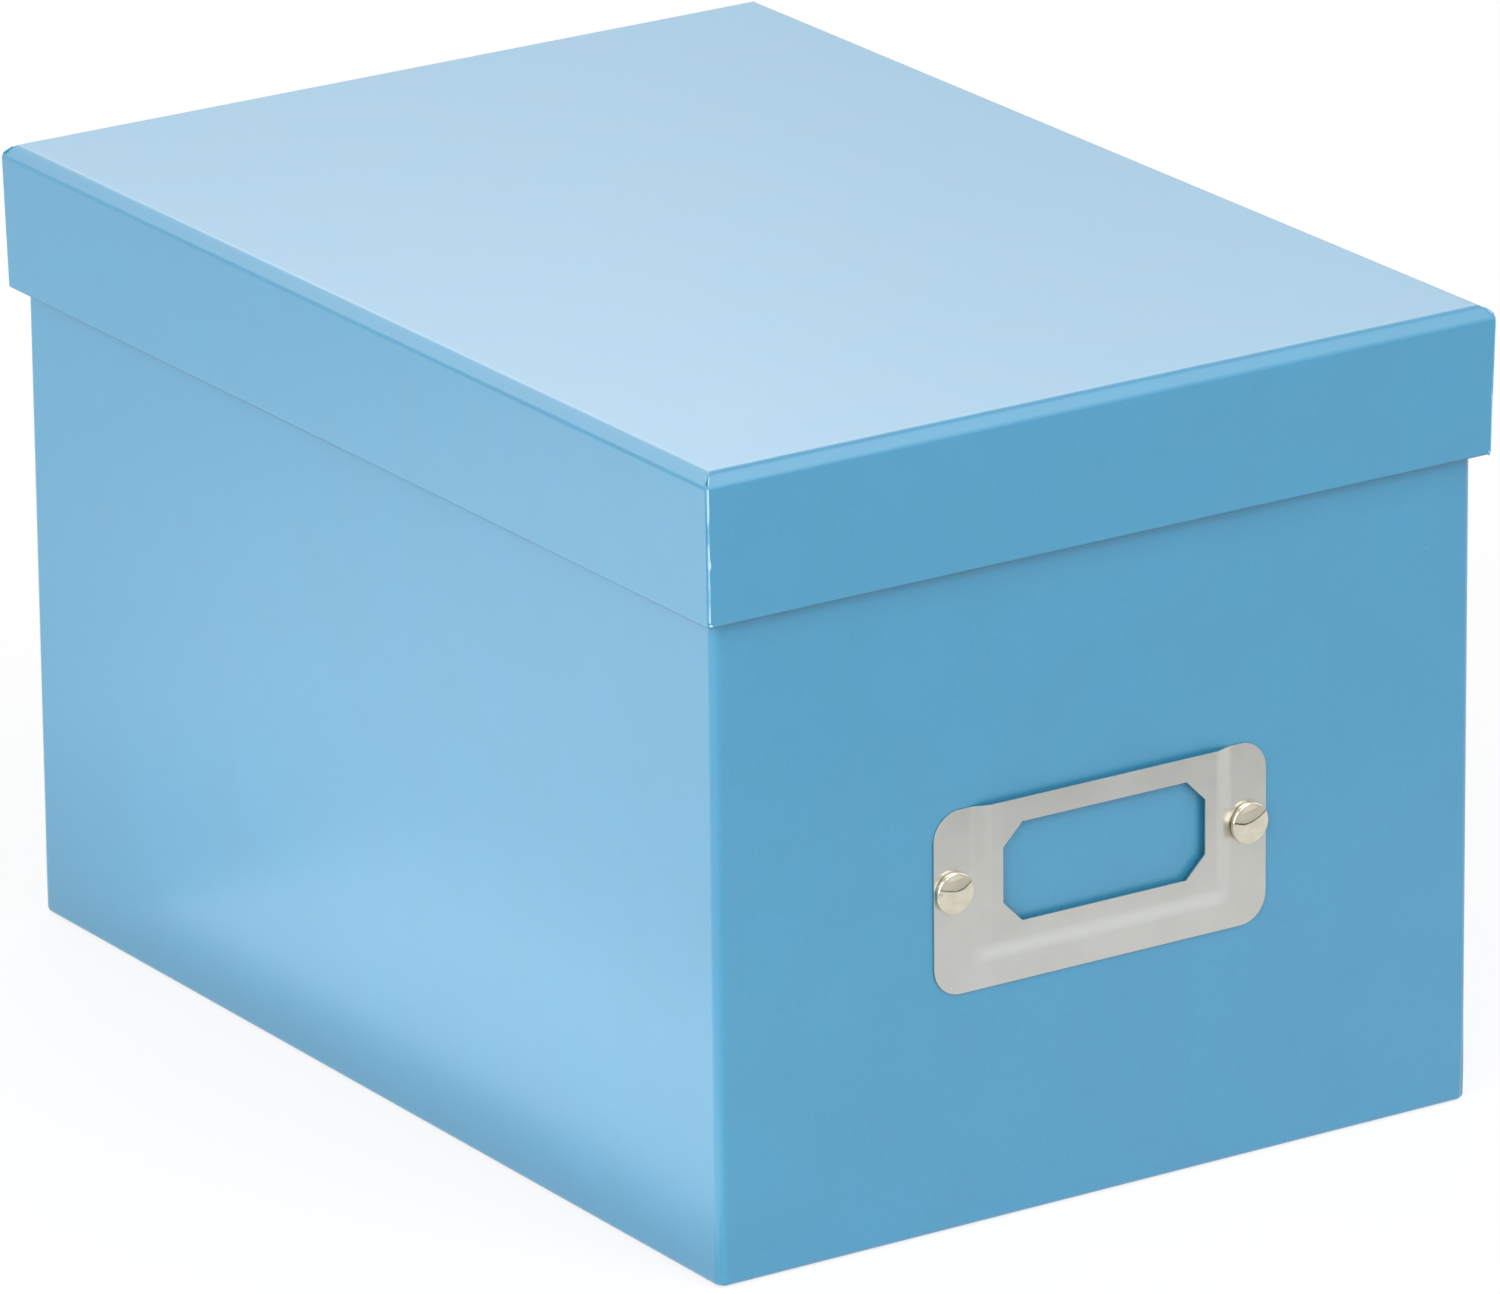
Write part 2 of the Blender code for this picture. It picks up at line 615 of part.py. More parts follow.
def fastener_hole_cutter(name, parent, place):
    """A cutter for one fastener hole, through the plate, the wrap, the board and the lining."""
    made = bmesh.new()
    depth = LINING_OVER_TURN_IN_INSET + STEEL + PANEL_RAISE + 2 * CUT_OVERRUN
    bmesh.ops.create_cone(
        made,
        cap_ends=True,
        segments=FASTENER_HOLE_STEPS,
        radius1=FASTENER_HOLE_RADIUS,
        radius2=FASTENER_HOLE_RADIUS,
        depth=depth,
    )
    tool = cutter(name, made, parent)
    tool.location = place
    return tool


def label_holder(parent, walls):
    """The label holder and its two fasteners, which pass through every layer of the front wall."""
    front = empty("label_face", (0, -TRAY_HALF_Y - GLUE_FILM, PLATE_CENTRE_HEIGHT))
    front.rotation_euler = (RIGHT_ANGLE, 0, 0)
    front.parent = parent
    inner_face = -GLUE_FILM - LINING_FACE_INSET
    cap_foot = STEEL + GLUE_FILM
    sides = {"left": -FASTENER_SPACING / 2, "right": FASTENER_SPACING / 2}
    tools = []
    for side, x in sides.items():
        place = (x, FASTENER_RISE, inner_face / 2)
        tools.append(fastener_hole_cutter(f"fastener_hole_cutter_{side}", front, place))
        cap = solid(f"fastener_cap_{side}", fastener_cap(), front, NICKEL)
        cap.location = (x, FASTENER_RISE, cap_foot)
        strip = solid(f"fastener_strip_{side}", fastener_strip(inner_face - GLUE_FILM - cap_foot), front, NICKEL)
        strip.location = (x, FASTENER_RISE, cap_foot)
    for wall in walls:
        for tool in tools:
            cut(wall, tool)
    label_frame(front, tools)


def build_tray():
    """The tray: board, tape, wrap, base sheet, lining and the label holder on its front wall."""
    carrier = empty("tray_base", (0, 0, 0))
    board = tray_board(carrier)
    wrap = tray_wrap(carrier)
    liner = tray_liner(carrier)
    tray_base_sheet(carrier)
    tray_corner_stays(carrier)
    label_holder(carrier, [board, wrap, liner])


def build_lid():
    """The lid, whose pieces hang on an empty on the line along which it lifts."""
    carrier = empty("lid_lift_axis", (0, 0, 0))
    lid_board(carrier)
    lid_wrap(carrier)
    lid_liner(carrier)
    lid_corner_stays(carrier)


def main():
    """Builds the whole box."""
    clear_scene()
    build_tray()
    build_lid()


main()
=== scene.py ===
"""Looks of a paper-covered storage box: its papers, its pressed label holder and the studio round it.

Lengths are in metres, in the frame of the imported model: the box stands on the plane Z = 0 with its
centre over the origin, its label holder faces -Y and its lid lifts along +Z.
"""

import logging
from dataclasses import dataclass, field
from enum import Enum
from math import atan2, copysign, cos, degrees, hypot, inf, pi, radians, sin, tan
from typing import Any, Callable, ClassVar, Iterable, Optional

import bmesh
import bpy
from mathutils import Matrix, Quaternion, Vector, noise


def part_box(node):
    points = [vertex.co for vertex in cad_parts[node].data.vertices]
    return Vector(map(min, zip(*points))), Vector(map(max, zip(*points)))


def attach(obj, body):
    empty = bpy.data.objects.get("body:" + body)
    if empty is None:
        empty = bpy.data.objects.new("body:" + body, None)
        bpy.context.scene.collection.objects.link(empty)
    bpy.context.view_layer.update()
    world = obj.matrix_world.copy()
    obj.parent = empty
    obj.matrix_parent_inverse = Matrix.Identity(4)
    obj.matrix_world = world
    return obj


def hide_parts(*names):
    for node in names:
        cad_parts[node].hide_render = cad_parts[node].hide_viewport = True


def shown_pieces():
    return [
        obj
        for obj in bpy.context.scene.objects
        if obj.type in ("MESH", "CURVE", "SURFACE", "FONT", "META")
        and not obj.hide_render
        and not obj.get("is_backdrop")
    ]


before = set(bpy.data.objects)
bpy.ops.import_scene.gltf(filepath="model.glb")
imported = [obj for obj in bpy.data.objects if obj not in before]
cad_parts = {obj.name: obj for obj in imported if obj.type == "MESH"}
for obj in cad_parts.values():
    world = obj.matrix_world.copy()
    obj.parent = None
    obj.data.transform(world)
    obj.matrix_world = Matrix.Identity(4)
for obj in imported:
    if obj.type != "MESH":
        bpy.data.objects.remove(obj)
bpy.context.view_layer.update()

MM = 0.001
SHADE_ANGLE = radians(38)
MERGE_DISTANCE = 0.0005 * MM

Colour = tuple[float, float, float]
Station = tuple[float, float]

ORIGIN = (0, 0, 0)
ACROSS = (1, 0, 0)
ALONG = (0, 1, 0)
UP = (0, 0, 1)
TRAY_MIDDLE = (0.0, 0.0, 0.07)
LID_MIDDLE = (0.0, 0.0, 0.15)

log = logging.getLogger("storage_box")


class Body(Enum):
    """The two halves of the box that pieces ride on."""

    TRAY = "tray"
    LID = "lid"


class Slot(Enum):
    """The record's material slots that new pieces take."""

    BLUE_PAPER = "blue_paper"
    PLATED_STEEL = "plated_steel"
    NICKEL = "nickel"


class Corner(Enum):
    """The four upright corners, by the signs of their X and Y."""

    BACK_RIGHT = (1, 1)
    BACK_LEFT = (-1, 1)
    FRONT_LEFT = (-1, -1)
    FRONT_RIGHT = (1, -1)


class Value:
    """A number that varies over a surface, wrapped so that sums and products of it add Math nodes."""

    def __init__(self, nodes: "Nodes", socket: bpy.types.NodeSocket) -> None:
        """Wraps a socket.

        Args:
            nodes: The node tree that the socket belongs to.
            socket: The output socket that gives the number.
        """
        self.nodes = nodes
        self.socket = socket

    def _math(self, operation: str, first: Any, second: Any) -> "Value":
        """Adds one Math node.

        Args:
            operation: The node's operation.
            first: A value or a number.
            second: A value or a number.

        Returns:
            The node's result.
        """
        node = self.nodes.node("ShaderNodeMath", {"operation": operation}, {0: first, 1: second})
        return Value(self.nodes, node.outputs[0])

    def __add__(self, other: Any) -> "Value":
        """The sum with a value or a number."""
        return self._math("ADD", self, other)

    def __radd__(self, other: Any) -> "Value":
        """The sum with a number on the left."""
        return self._math("ADD", other, self)

    def __sub__(self, other: Any) -> "Value":
        """The difference from a value or a number."""
        return self._math("SUBTRACT", self, other)

    def __rsub__(self, other: Any) -> "Value":
        """The difference of a number from this value."""
        return self._math("SUBTRACT", other, self)

    def __mul__(self, other: Any) -> "Value":
        """The product with a value or a number."""
        return self._math("MULTIPLY", self, other)

    def __rmul__(self, other: Any) -> "Value":
        """The product with a number on the left."""
        return self._math("MULTIPLY", other, self)

    def above(self, limit: float) -> "Value":
        """One where the value is greater than the limit, and zero elsewhere."""
        return self._math("GREATER_THAN", self, limit)

    def eased(self, low: float, high: float) -> "Value":
        """A soft step of the value.

        Args:
            low: Where the step starts, giving 0.
            high: Where the step ends, giving 1.

        Returns:
            The step, from 0 to 1.
        """
        node = self.nodes.node(
            "ShaderNodeMapRange",
            {"interpolation_type": "SMOOTHSTEP"},
            {"Value": self, "From Min": low, "From Max": high},
        )
        return Value(self.nodes, node.outputs["Result"])


class Nodes:
    """A node tree under construction."""

    def __init__(self, tree: bpy.types.NodeTree) -> None:
        """Starts with an empty tree.

        Args:
            tree: The tree.
        """
        self.tree = tree
        self.tree.nodes.clear()

    def node(
        self, kind: str, settings: Optional[dict] = None, sockets: Optional[dict] = None
    ) -> bpy.types.Node:
        """Adds a node.

        Args:
            kind: The node's type.
            settings: Its own settings, set first.
            sockets: Numbers, colours or links for its input sockets, by name or place.

        Returns:
            The node.
        """
        made = self.tree.nodes.new(kind)
        for name, setting in (settings or {}).items():
            setattr(made, name, setting)
        for name, given in (sockets or {}).items():
            self.feed(made.inputs[name], given)
        return made

    def feed(self, socket: bpy.types.NodeSocket, given: Any) -> None:
        """Sets an input socket or links it.

        Args:
            socket: The input socket.
            given: A value, an output socket, a number or a colour.
        """
        if isinstance(given, Value):
            self.tree.links.new(given.socket, socket)
        elif isinstance(given, bpy.types.NodeSocket):
            self.tree.links.new(given, socket)
        elif isinstance(given, tuple) and len(given) == 3 and socket.type == "RGBA":
            socket.default_value = (*given, 1.0)
        else:
            socket.default_value = given

    def seen(self) -> Value:
        """One for camera, glossy and transmission rays, and zero for the rest."""
        rays = self.node("ShaderNodeLightPath")
        names = ("Is Camera Ray", "Is Glossy Ray", "Is Transmission Ray")
        camera, glossy, through = (Value(self, rays.outputs[name]) for name in names)
        return (camera + glossy + through).above(0.5)


class Shader(Nodes):
    """A material under construction, with one Principled shader."""

    def __init__(self, name: str) -> None:
        """Starts a material.

        Args:
            name: The material's name.
        """
        self.material = bpy.data.materials.new(name)
        self.material.use_nodes = True
        super().__init__(self.material.node_tree)
        self.output = self.node("ShaderNodeOutputMaterial")
        self.place = self.node("ShaderNodeTexCoord").outputs["Object"]

    def stretched(self, per_metre: Colour) -> bpy.types.NodeSocket:
        """The object's coordinates times a scale along each axis."""
        mapping = self.node("ShaderNodeMapping", None, {"Vector": self.place, "Scale": per_metre})
        return mapping.outputs["Vector"]

    def noise(self, size: float, detail: float = 3.0, stretch: Colour = (1.0, 1.0, 1.0)) -> Value:
        """A cloudy pattern.

        Args:
            size: The size of its larger patches, in metres.
            detail: How many finer levels it has.
            stretch: How much longer the patches are along each axis.

        Returns:
            The pattern, about 0.5 on average.
        """
        scale = tuple(1.0 / (size * share) for share in stretch)
        sockets = {"Vector": self.stretched(scale), "Scale": 1.0, "Detail": detail}
        made = self.node("ShaderNodeTexNoise", None, sockets)
        return Value(self, made.outputs["Fac"])

    def specks(self, spacing: float, radius: float, kept: float) -> Value:
        """Small round specks, strewn at random.

        Args:
            spacing: The size of the cells that hold one speck each.
            radius: A speck's radius.
            kept: The share of the cells that show theirs.

        Returns:
            A mask, 1 on the specks.
        """
        scale = (1.0 / spacing,) * 3
        cells = self.node("ShaderNodeTexVoronoi", None, {"Vector": self.stretched(scale), "Scale": 1.0})
        distance = Value(self, cells.outputs["Distance"])
        split = self.node("ShaderNodeSeparateColor", None, {"Color": cells.outputs["Color"]})
        chosen = Value(self, split.outputs["Red"]).above(1.0 - kept)
        share = radius / spacing
        return (1.0 - distance.eased(share * 0.5, share)) * chosen

    def blend(self, factor: Any, first: Any, second: Any) -> bpy.types.NodeSocket:
        """Mixes two colours.

        Args:
            factor: How much of the second colour there is.
            first: A colour or a colour link.
            second: A colour or a colour link.

        Returns:
            The mixed colour.
        """
        mixed = self.node("ShaderNodeMix", {"data_type": "RGBA"}, {0: factor, 6: first, 7: second})
        return mixed.outputs[2]

    def clouded(self, cloud: Value, colour: Colour, darker: float, lighter: float) -> bpy.types.NodeSocket:
        """A colour that a cloudy pattern makes darker and lighter, by shares of itself."""
        return self.blend(cloud.eased(0.3, 0.7), tinted(colour, -darker), tinted(colour, lighter))

    def speckled(
        self, colour: Any, tint: Colour, spacing: float, radius: float, kept: float, strength: float
    ) -> bpy.types.NodeSocket:
        """A colour with small round specks of a tint, which show with a strength from 0 to 1."""
        return self.blend(self.specks(spacing, radius, kept) * strength, colour, tint)

    def attribute(self, name: str) -> Value:
        """The number that is painted on the piece's points under a name."""
        return Value(self, self.node("ShaderNodeAttribute", {"attribute_name": name}).outputs["Fac"])

    def bump(self, height: Value, distance: float, below: Any = None) -> bpy.types.NodeSocket:
        """A relief.

        Args:
            height: The pattern of the relief.
            distance: The depth of the relief, in metres.
            below: A relief that this one lies on.

        Returns:
            The bent normal.
        """
        sockets = {"Height": height, "Distance": distance}
        if below is not None:
            sockets["Normal"] = below
        return self.node("ShaderNodeBump", None, sockets).outputs["Normal"]

    def finish(self, **inputs: Any) -> bpy.types.Material:
        """Feeds the Principled shader.

        Args:
            inputs: The shader's inputs, with underscores for spaces.

        Returns:
            The finished material.
        """
        sockets = {name.replace("_", " "): given for name, given in inputs.items()}
        principled = self.node("ShaderNodeBsdfPrincipled", None, sockets)
        return self.show(principled)

    def show(self, surface: bpy.types.Node) -> bpy.types.Material:
        """Puts a shader node on the surface.

        Args:
            surface: The shader node.

        Returns:
            The finished material.
        """
        self.feed(self.output.inputs["Surface"], surface.outputs[0])
        return self.material


def tinted(colour: Colour, share: float) -> Colour:
    """A colour made lighter or darker by a share of itself."""
    return tuple(channel * (1.0 + share) for channel in colour)


@dataclass(frozen=True)
class CoveringPaper:
    """The sky-blue covering paper, printed with a satin clear coat."""

    name: str = "sky_blue_paper"
    blue: Colour = (0.039, 0.283, 0.48)
    core: Colour = (0.62, 0.82, 0.9)
    roughness: float = 0.45
    coat: float = 1.0
    coat_roughness: float = 0.3
    mottle_size: float = 14 * MM
    fibre_size: float = 0.35 * MM
    wave_size: float = 26 * MM
    wave_depth: float = 0.12 * MM
    grain_depth: float = 0.006 * MM
    scuff_size: float = 0.8 * MM
    speck_radius: float = 0.16 * MM
    pale_spacing: float = 9 * MM
    dark_spacing: float = 20.7 * MM
    dark_tint: float = -0.7
    # How far painted shade darkens the paper under the lid's lower fold.
    painted_shade_strength: float = 0.6

    def material(self) -> bpy.types.Material:
        """Makes the material, with its mottling, fibres and specks, its worn edges, and its lower fold made
        matt and darkened with painted shade.
        """
        shader = Shader(self.name)
        dark = tinted(self.blue, self.dark_tint)
        mottle = shader.noise(self.mottle_size, 4.0)
        fibre = shader.noise(self.fibre_size, 2.0)
        colour = shader.clouded(mottle, self.blue, 0.02, 0.02)
        colour = shader.blend(fibre.eased(0.35, 0.75) * 0.025, colour, self.core)
        colour = shader.speckled(colour, self.core, self.pale_spacing, self.speck_radius, 0.35, 0.4)
        colour = shader.speckled(colour, dark, self.dark_spacing, self.speck_radius, 0.3, 0.35)
        scuff = shader.noise(self.scuff_size, 3.0).eased(0.42, 0.62)
        colour = shader.blend(shader.attribute("worn") * scuff, colour, self.core)
        # The matt attribute also carries painted shade, which darkens the colour under the lid's lower fold.
        matt = shader.attribute("matt")
        colour = shader.blend(matt * self.painted_shade_strength, colour, dark)
        wave = shader.noise(self.wave_size, 1.0)
        relief = shader.bump(wave, self.wave_depth)
        relief = shader.bump(fibre, self.grain_depth, below=relief)
        return shader.finish(
            Base_Color=colour,
            Roughness=self.roughness + (mottle - 0.5) * 0.08,
            Coat_Weight=self.coat * (1.0 - matt),
            Coat_Roughness=self.coat_roughness,
            Normal=relief,
        )


@dataclass(frozen=True)
class CutPaper:
    """The raw edge of the covering paper, paler than its printed face."""

    name: str = "cut_paper_edge"
    pale: Colour = (0.52, 0.76, 0.88)
    blue: Colour = (0.16, 0.46, 0.68)
    roughness: float = 0.6
    patch_size: float = 5 * MM
    grain_size: float = 0.25 * MM
    grain_depth: float = 0.02 * MM

    def material(self) -> bpy.types.Material:
        """Makes the material, whose paleness comes and goes along the cut."""
        shader = Shader(self.name)
        patch = shader.noise(self.patch_size, 3.0).eased(0.4, 0.62)
        grain = shader.noise(self.grain_size, 2.0)
        colour = shader.blend(patch, self.blue, self.pale)
        relief = shader.bump(grain, self.grain_depth)
        return shader.finish(Base_Color=colour, Roughness=self.roughness + grain * 0.1, Normal=relief)


@dataclass(frozen=True)
class FoldShade:
    """Painted shade: the dark colour of slivers set in the covering paper's folds, where only shade falls."""

    name: str = "fold_shade"
    deep: Colour = (0.025, 0.12, 0.2)
    roughness: float = 0.8
    grain_size: float = 0.3 * MM

    def material(self) -> bpy.types.Material:
        """Makes the material."""
        shader = Shader(self.name)
        grain = shader.noise(self.grain_size, 2.0)
        colour = shader.blend(grain, self.deep, tinted(self.deep, 0.8))
        return shader.finish(Base_Color=colour, Roughness=self.roughness)


@dataclass(frozen=True)
class LiningPaper:
    """The uncoated white paper inside the box."""

    name: str = "white_lining_paper"
    white: Colour = (0.82, 0.81, 0.78)
    roughness: float = 0.72
    cloud_size: float = 18 * MM
    fibre_size: float = 0.5 * MM
    fibre_depth: float = 0.012 * MM
    fleck_spacing: float = 7 * MM
    fleck_radius: float = 0.18 * MM
    wave_size: float = 30 * MM
    wave_depth: float = 0.1 * MM

    def material(self) -> bpy.types.Material:
        """Makes the material, with its faint fibres, flecks and cloudy patches."""
        shader = Shader(self.name)
        cloud = shader.noise(self.cloud_size, 4.0)
        fibre = shader.noise(self.fibre_size, 3.0, (1.0, 3.0, 1.0))
        colour = shader.clouded(cloud, self.white, 0.025, 0.0)
        colour = shader.blend(fibre.eased(0.5, 0.8) * 0.25, colour, tinted(self.white, -0.09))
        fleck = tinted(self.white, -0.4)
        colour = shader.speckled(colour, fleck, self.fleck_spacing, self.fleck_radius, 0.4, 0.35)
        relief = shader.bump(shader.noise(self.wave_size, 1.0), self.wave_depth)
        relief = shader.bump(fibre, self.fibre_depth, below=relief)
        return shader.finish(Base_Color=colour, Roughness=self.roughness + (cloud - 0.5) * 0.1, Normal=relief)


@dataclass(frozen=True)
class Greyboard:
    """Raw grey chipboard, pressed from waste paper."""

    name: str = "raw_greyboard"
    grey: Colour = (0.42, 0.4, 0.36)
    roughness: float = 0.88
    cloud_size: float = 6 * MM
    flecks: tuple = ((-0.5, 1.6 * MM, 0.3 * MM, 0.35), (0.6, 2.3 * MM, 0.35 * MM, 0.3))
    grain_size: float = 0.6 * MM
    grain_depth: float = 0.04 * MM

    def material(self) -> bpy.types.Material:
        """Makes the material, with pale and dark flecks in a coarse grain."""
        shader = Shader(self.name)
        colour = shader.clouded(shader.noise(self.cloud_size, 5.0), self.grey, 0.12, 0.1)
        for share, spacing, radius, kept in self.flecks:
            colour = shader.speckled(colour, tinted(self.grey, share), spacing, radius, kept, 0.6)
        grain = shader.noise(self.grain_size, 4.0)
        return shader.finish(
            Base_Color=colour,
            Roughness=self.roughness + (grain - 0.5) * 0.1,
            Normal=shader.bump(grain, self.grain_depth),
        )


@dataclass(frozen=True)
class KraftTape:
    """Brown gummed paper tape, with its laid streaks upright."""

    name: str = "gummed_kraft_tape"
    brown: Colour = (0.5, 0.34, 0.19)
    roughness: float = 0.66
    streak_size: float = 1.1 * MM
    streak_stretch: Colour = (1.0, 1.0, 14.0)
    fibre_size: float = 0.3 * MM
    fibre_depth: float = 0.02 * MM

    def material(self) -> bpy.types.Material:
        """Makes the material."""
        shader = Shader(self.name)
        streak = shader.noise(self.streak_size, 3.0, self.streak_stretch)
        fibre = shader.noise(self.fibre_size, 2.0)
        return shader.finish(
            Base_Color=shader.clouded(streak, self.brown, 0.14, 0.1),
            Roughness=self.roughness + (streak - 0.5) * 0.2,
            Normal=shader.bump(fibre, self.fibre_depth),
        )


@dataclass(frozen=True)
class PlatedSteel:
    """Nickel-plated sheet steel with a satin, faintly scratched face."""

    name: str = "satin_plated_steel"
    tone: Colour = (0.565, 0.565, 0.533)
    roughness: float = 0.3
    # How much the painted highlight lightens the plate's lower slope.
    painted_highlight_tint: float = 0.13
    cloud_size: float = 7 * MM
    streak_size: float = 0.5 * MM
    streak_stretch: Colour = (1.0, 1.0, 30.0)
    streak_depth: float = 0.0015 * MM
    spot_spacing: float = 6 * MM
    spot_radius: float = 0.12 * MM

    def material(self) -> bpy.types.Material:
        """Makes the material, with upright streaks, dull spots and a painted highlight on its lower slope."""
        shader = Shader(self.name)
        cloud = shader.noise(self.cloud_size, 3.0)
        streak = shader.noise(self.streak_size, 2.0, self.streak_stretch)
        colour = shader.clouded(cloud, self.tone, 0.03, 0.02)
        dull = tinted(self.tone, -0.5)
        colour = shader.speckled(colour, dull, self.spot_spacing, self.spot_radius, 0.4, 0.5)
        # Painted highlight: the plate's lower slope is lightened in its colour to stand in for a reflection.
        colour = shader.blend(shader.attribute("painted_highlight"), colour, tinted(self.tone, self.painted_highlight_tint))
        return shader.finish(
            Base_Color=colour,
            Metallic=1.0,
            Roughness=self.roughness + (streak - 0.5) * 0.1 + (cloud - 0.5) * 0.06,
            Normal=shader.bump(streak, self.streak_depth),
        )


@dataclass(frozen=True)
class PolishedNickel:
    """The fasteners' warm, nearly mirror-bright nickel."""

    name: str = "polished_nickel"
    tone: Colour = (0.66, 0.62, 0.5)
    roughness: float = 0.06
    cloud_size: float = 2.2 * MM
    scuff_size: float = 0.25 * MM
    scuff_stretch: Colour = (4.0, 1.0, 1.0)
    scuff_depth: float = 0.001 * MM

    def material(self) -> bpy.types.Material:
        """Makes the material, with fine scuffs."""
        shader = Shader(self.name)
        cloud = shader.noise(self.cloud_size, 3.0)
        scuff = shader.noise(self.scuff_size, 2.0, self.scuff_stretch)
        return shader.finish(
            Base_Color=shader.clouded(cloud, self.tone, 0.07, 0.03),
            Metallic=1.0,
            Roughness=self.roughness + scuff.eased(0.5, 0.8) * 0.12,
            Normal=shader.bump(scuff, self.scuff_depth),
        )


@dataclass
class Finishes:
    """One material for each finish, made once and shared by the pieces."""

    paper: bpy.types.Material = field(default_factory=CoveringPaper().material)
    cut: bpy.types.Material = field(default_factory=CutPaper().material)
    shade: bpy.types.Material = field(default_factory=FoldShade().material)
    lining: bpy.types.Material = field(default_factory=LiningPaper().material)
    board: bpy.types.Material = field(default_factory=Greyboard().material)
    tape: bpy.types.Material = field(default_factory=KraftTape().material)
    steel: bpy.types.Material = field(default_factory=PlatedSteel().material)
    nickel: bpy.types.Material = field(default_factory=PolishedNickel().material)


def dress(node: str, material: bpy.types.Material) -> None:
    """Gives a carried-over node its finish.

    Args:
        node: The node's name.
        material: The finish.
    """
    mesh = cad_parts[node].data
    mesh.materials.clear()
    mesh.materials.append(material)


def add_object(name: str, data: bpy.types.ID) -> bpy.types.Object:
    """Adds an object to the scene, at the origin and unscaled."""
    made = bpy.data.objects.new(name, data)
    bpy.context.scene.collection.objects.link(made)
    return made


def add_mesh(name: str, work: bmesh.types.BMesh, material: bpy.types.Material) -> bpy.types.Object:
    """Turns a bmesh into an object.

    Args:
        name: The name of the object and its mesh.
        work: The bmesh, which is used up.
        material: Its finish.

    Returns:
        The object.
    """
    mesh = bpy.data.meshes.new(name)
    work.to_mesh(mesh)
    work.free()
    mesh.materials.append(material)
    return add_object(name, mesh)


def piece(
    name: str,
    work: bmesh.types.BMesh,
    body: Body,
    material: bpy.types.Material,
    replaced: Iterable[str] = (),
) -> bpy.types.Object:
    """Turns a bmesh into a piece of the box.

    Args:
        name: The piece's name.
        work: Its mesh, which is used up.
        body: The half of the box that it rides on.
        material: Its finish.
        replaced: The nodes that it stands for.

    Returns:
        The object.
    """
    made = add_mesh(name, work, material)
    made.data.shade_smooth()
    made.data.set_sharp_from_angle(angle=SHADE_ANGLE)
    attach(made, body.value)
    for node in replaced:
        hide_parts(node)
    return made


def paint(made: bpy.types.Object, name: str, amount_at: Callable[[Vector], float]) -> None:
    """Paints a number on a piece's points, for its finish to read.

    Args:
        made: The piece.
        name: The number's name.
        amount_at: The number at a place.
    """
    layer = made.data.attributes.new(name, "FLOAT", "POINT")
    for vertex, datum in zip(made.data.vertices, layer.data):
        datum.value = amount_at(vertex.co)


def thicken(made: bpy.types.Object, thickness: float) -> None:
    """Gives a sheet its thickness, inwards from its visible face.

    Args:
        made: The sheet.
        thickness: Its thickness.
    """
    wall = made.modifiers.new("thickness", "SOLIDIFY")
    wall.thickness = thickness
    wall.offset = -1.0
    wall.use_quality_normals = True


def weigh_normals(made: bpy.types.Object) -> None:
    """Keeps large flat faces evenly shaded beside small rounded ones."""
    weighted = made.modifiers.new("even shading", "WEIGHTED_NORMAL")
    weighted.mode = "FACE_AREA"
    weighted.keep_sharp = True


def filleted(corners: list[tuple[float, float, float]], steps: int) -> list[Station]:
    """A path with its inner corners rounded.

    Args:
        corners: Points as (inset, height, radius).
        steps: How many steps a rounding has.

    Returns:
        The points of the path.
    """
    points = [Vector(corner[:2]) for corner in corners]
    path = [tuple(points[0])]
    for before, at, after, corner in zip(points, points[1:], points[2:], corners[1:]):
        to_before = (before - at).normalized()
        to_after = (after - at).normalized()
        half_angle = to_before.angle(to_after) / 2
        reach = corner[2] / tan(half_angle)
        centre = at + (to_before + to_after).normalized() * (corner[2] / sin(half_angle))
        first = (at + to_before * reach - centre).normalized()
        last = (at + to_after * reach - centre).normalized()
        path.extend(tuple(centre + first.slerp(last, step / steps) * corner[2]) for step in range(steps + 1))
    return path + [tuple(points[-1])]


def round_off(work: bmesh.types.BMesh, geometry: list, affect: str, radius: float, segments: int) -> dict:
    """Bevels edges or corners.

    Args:
        work: The mesh.
        geometry: The edges or the points.
        affect: EDGES or VERTICES.
        radius: How far from them the bevel starts.
        segments: How many segments it has.

    Returns:
        The operator's result.
    """
    return bmesh.ops.bevel(
        work, geom=geometry, affect=affect, offset=radius, segments=segments, profile=0.5, material=-1
    )


def settle(work: bmesh.types.BMesh, turn: Matrix, at: Iterable[float]) -> None:
    """Turns a whole mesh about the origin, and then moves it.

    Args:
        work: The mesh.
        turn: The turn, as a 3 by 3 matrix.
        at: Where its origin goes.
    """
    bmesh.ops.rotate(work, verts=work.verts, cent=ORIGIN, matrix=turn)
    bmesh.ops.translate(work, verts=work.verts, vec=at)


def slice_mesh(work: bmesh.types.BMesh, axis: Colour, places: Iterable[float]) -> None:
    """Cuts new edge lines across a mesh, square to an axis.

    Args:
        work: The mesh.
        axis: The axis.
        places: Where the cuts lie along it.
    """
    for place in places:
        everything = work.verts[:] + work.edges[:] + work.faces[:]
        at = Vector(axis) * place
        bmesh.ops.bisect_plane(work, geom=everything, plane_co=at, plane_no=axis, dist=MERGE_DISTANCE)


def spread(low: float, high: float, step: float) -> list[float]:
    """Even places between two limits, both left out.

    Args:
        low: The lower limit.
        high: The upper limit.
        step: About how far apart the places are.

    Returns:
        The places.
    """
    count = max(int((high - low) / step + 0.5), 1)
    return [low + (high - low) * index / count for index in range(1, count)]


def eased(share: float) -> float:
    """A share from 0 to 1, eased at both ends."""
    held = min(max(share, 0.0), 1.0)
    return held * held * (3 - 2 * held)


def lump(place: float, centre: float, width: float) -> float:
    """A soft rise from 0 to 1 and back round a centre."""
    return eased(1 - abs(place - centre) / width)


def quadrant(at: Vector) -> Vector:
    """The signs of a place's X and Y, each 1 or -1."""
    return Vector((copysign(1, at.x), copysign(1, at.y)))


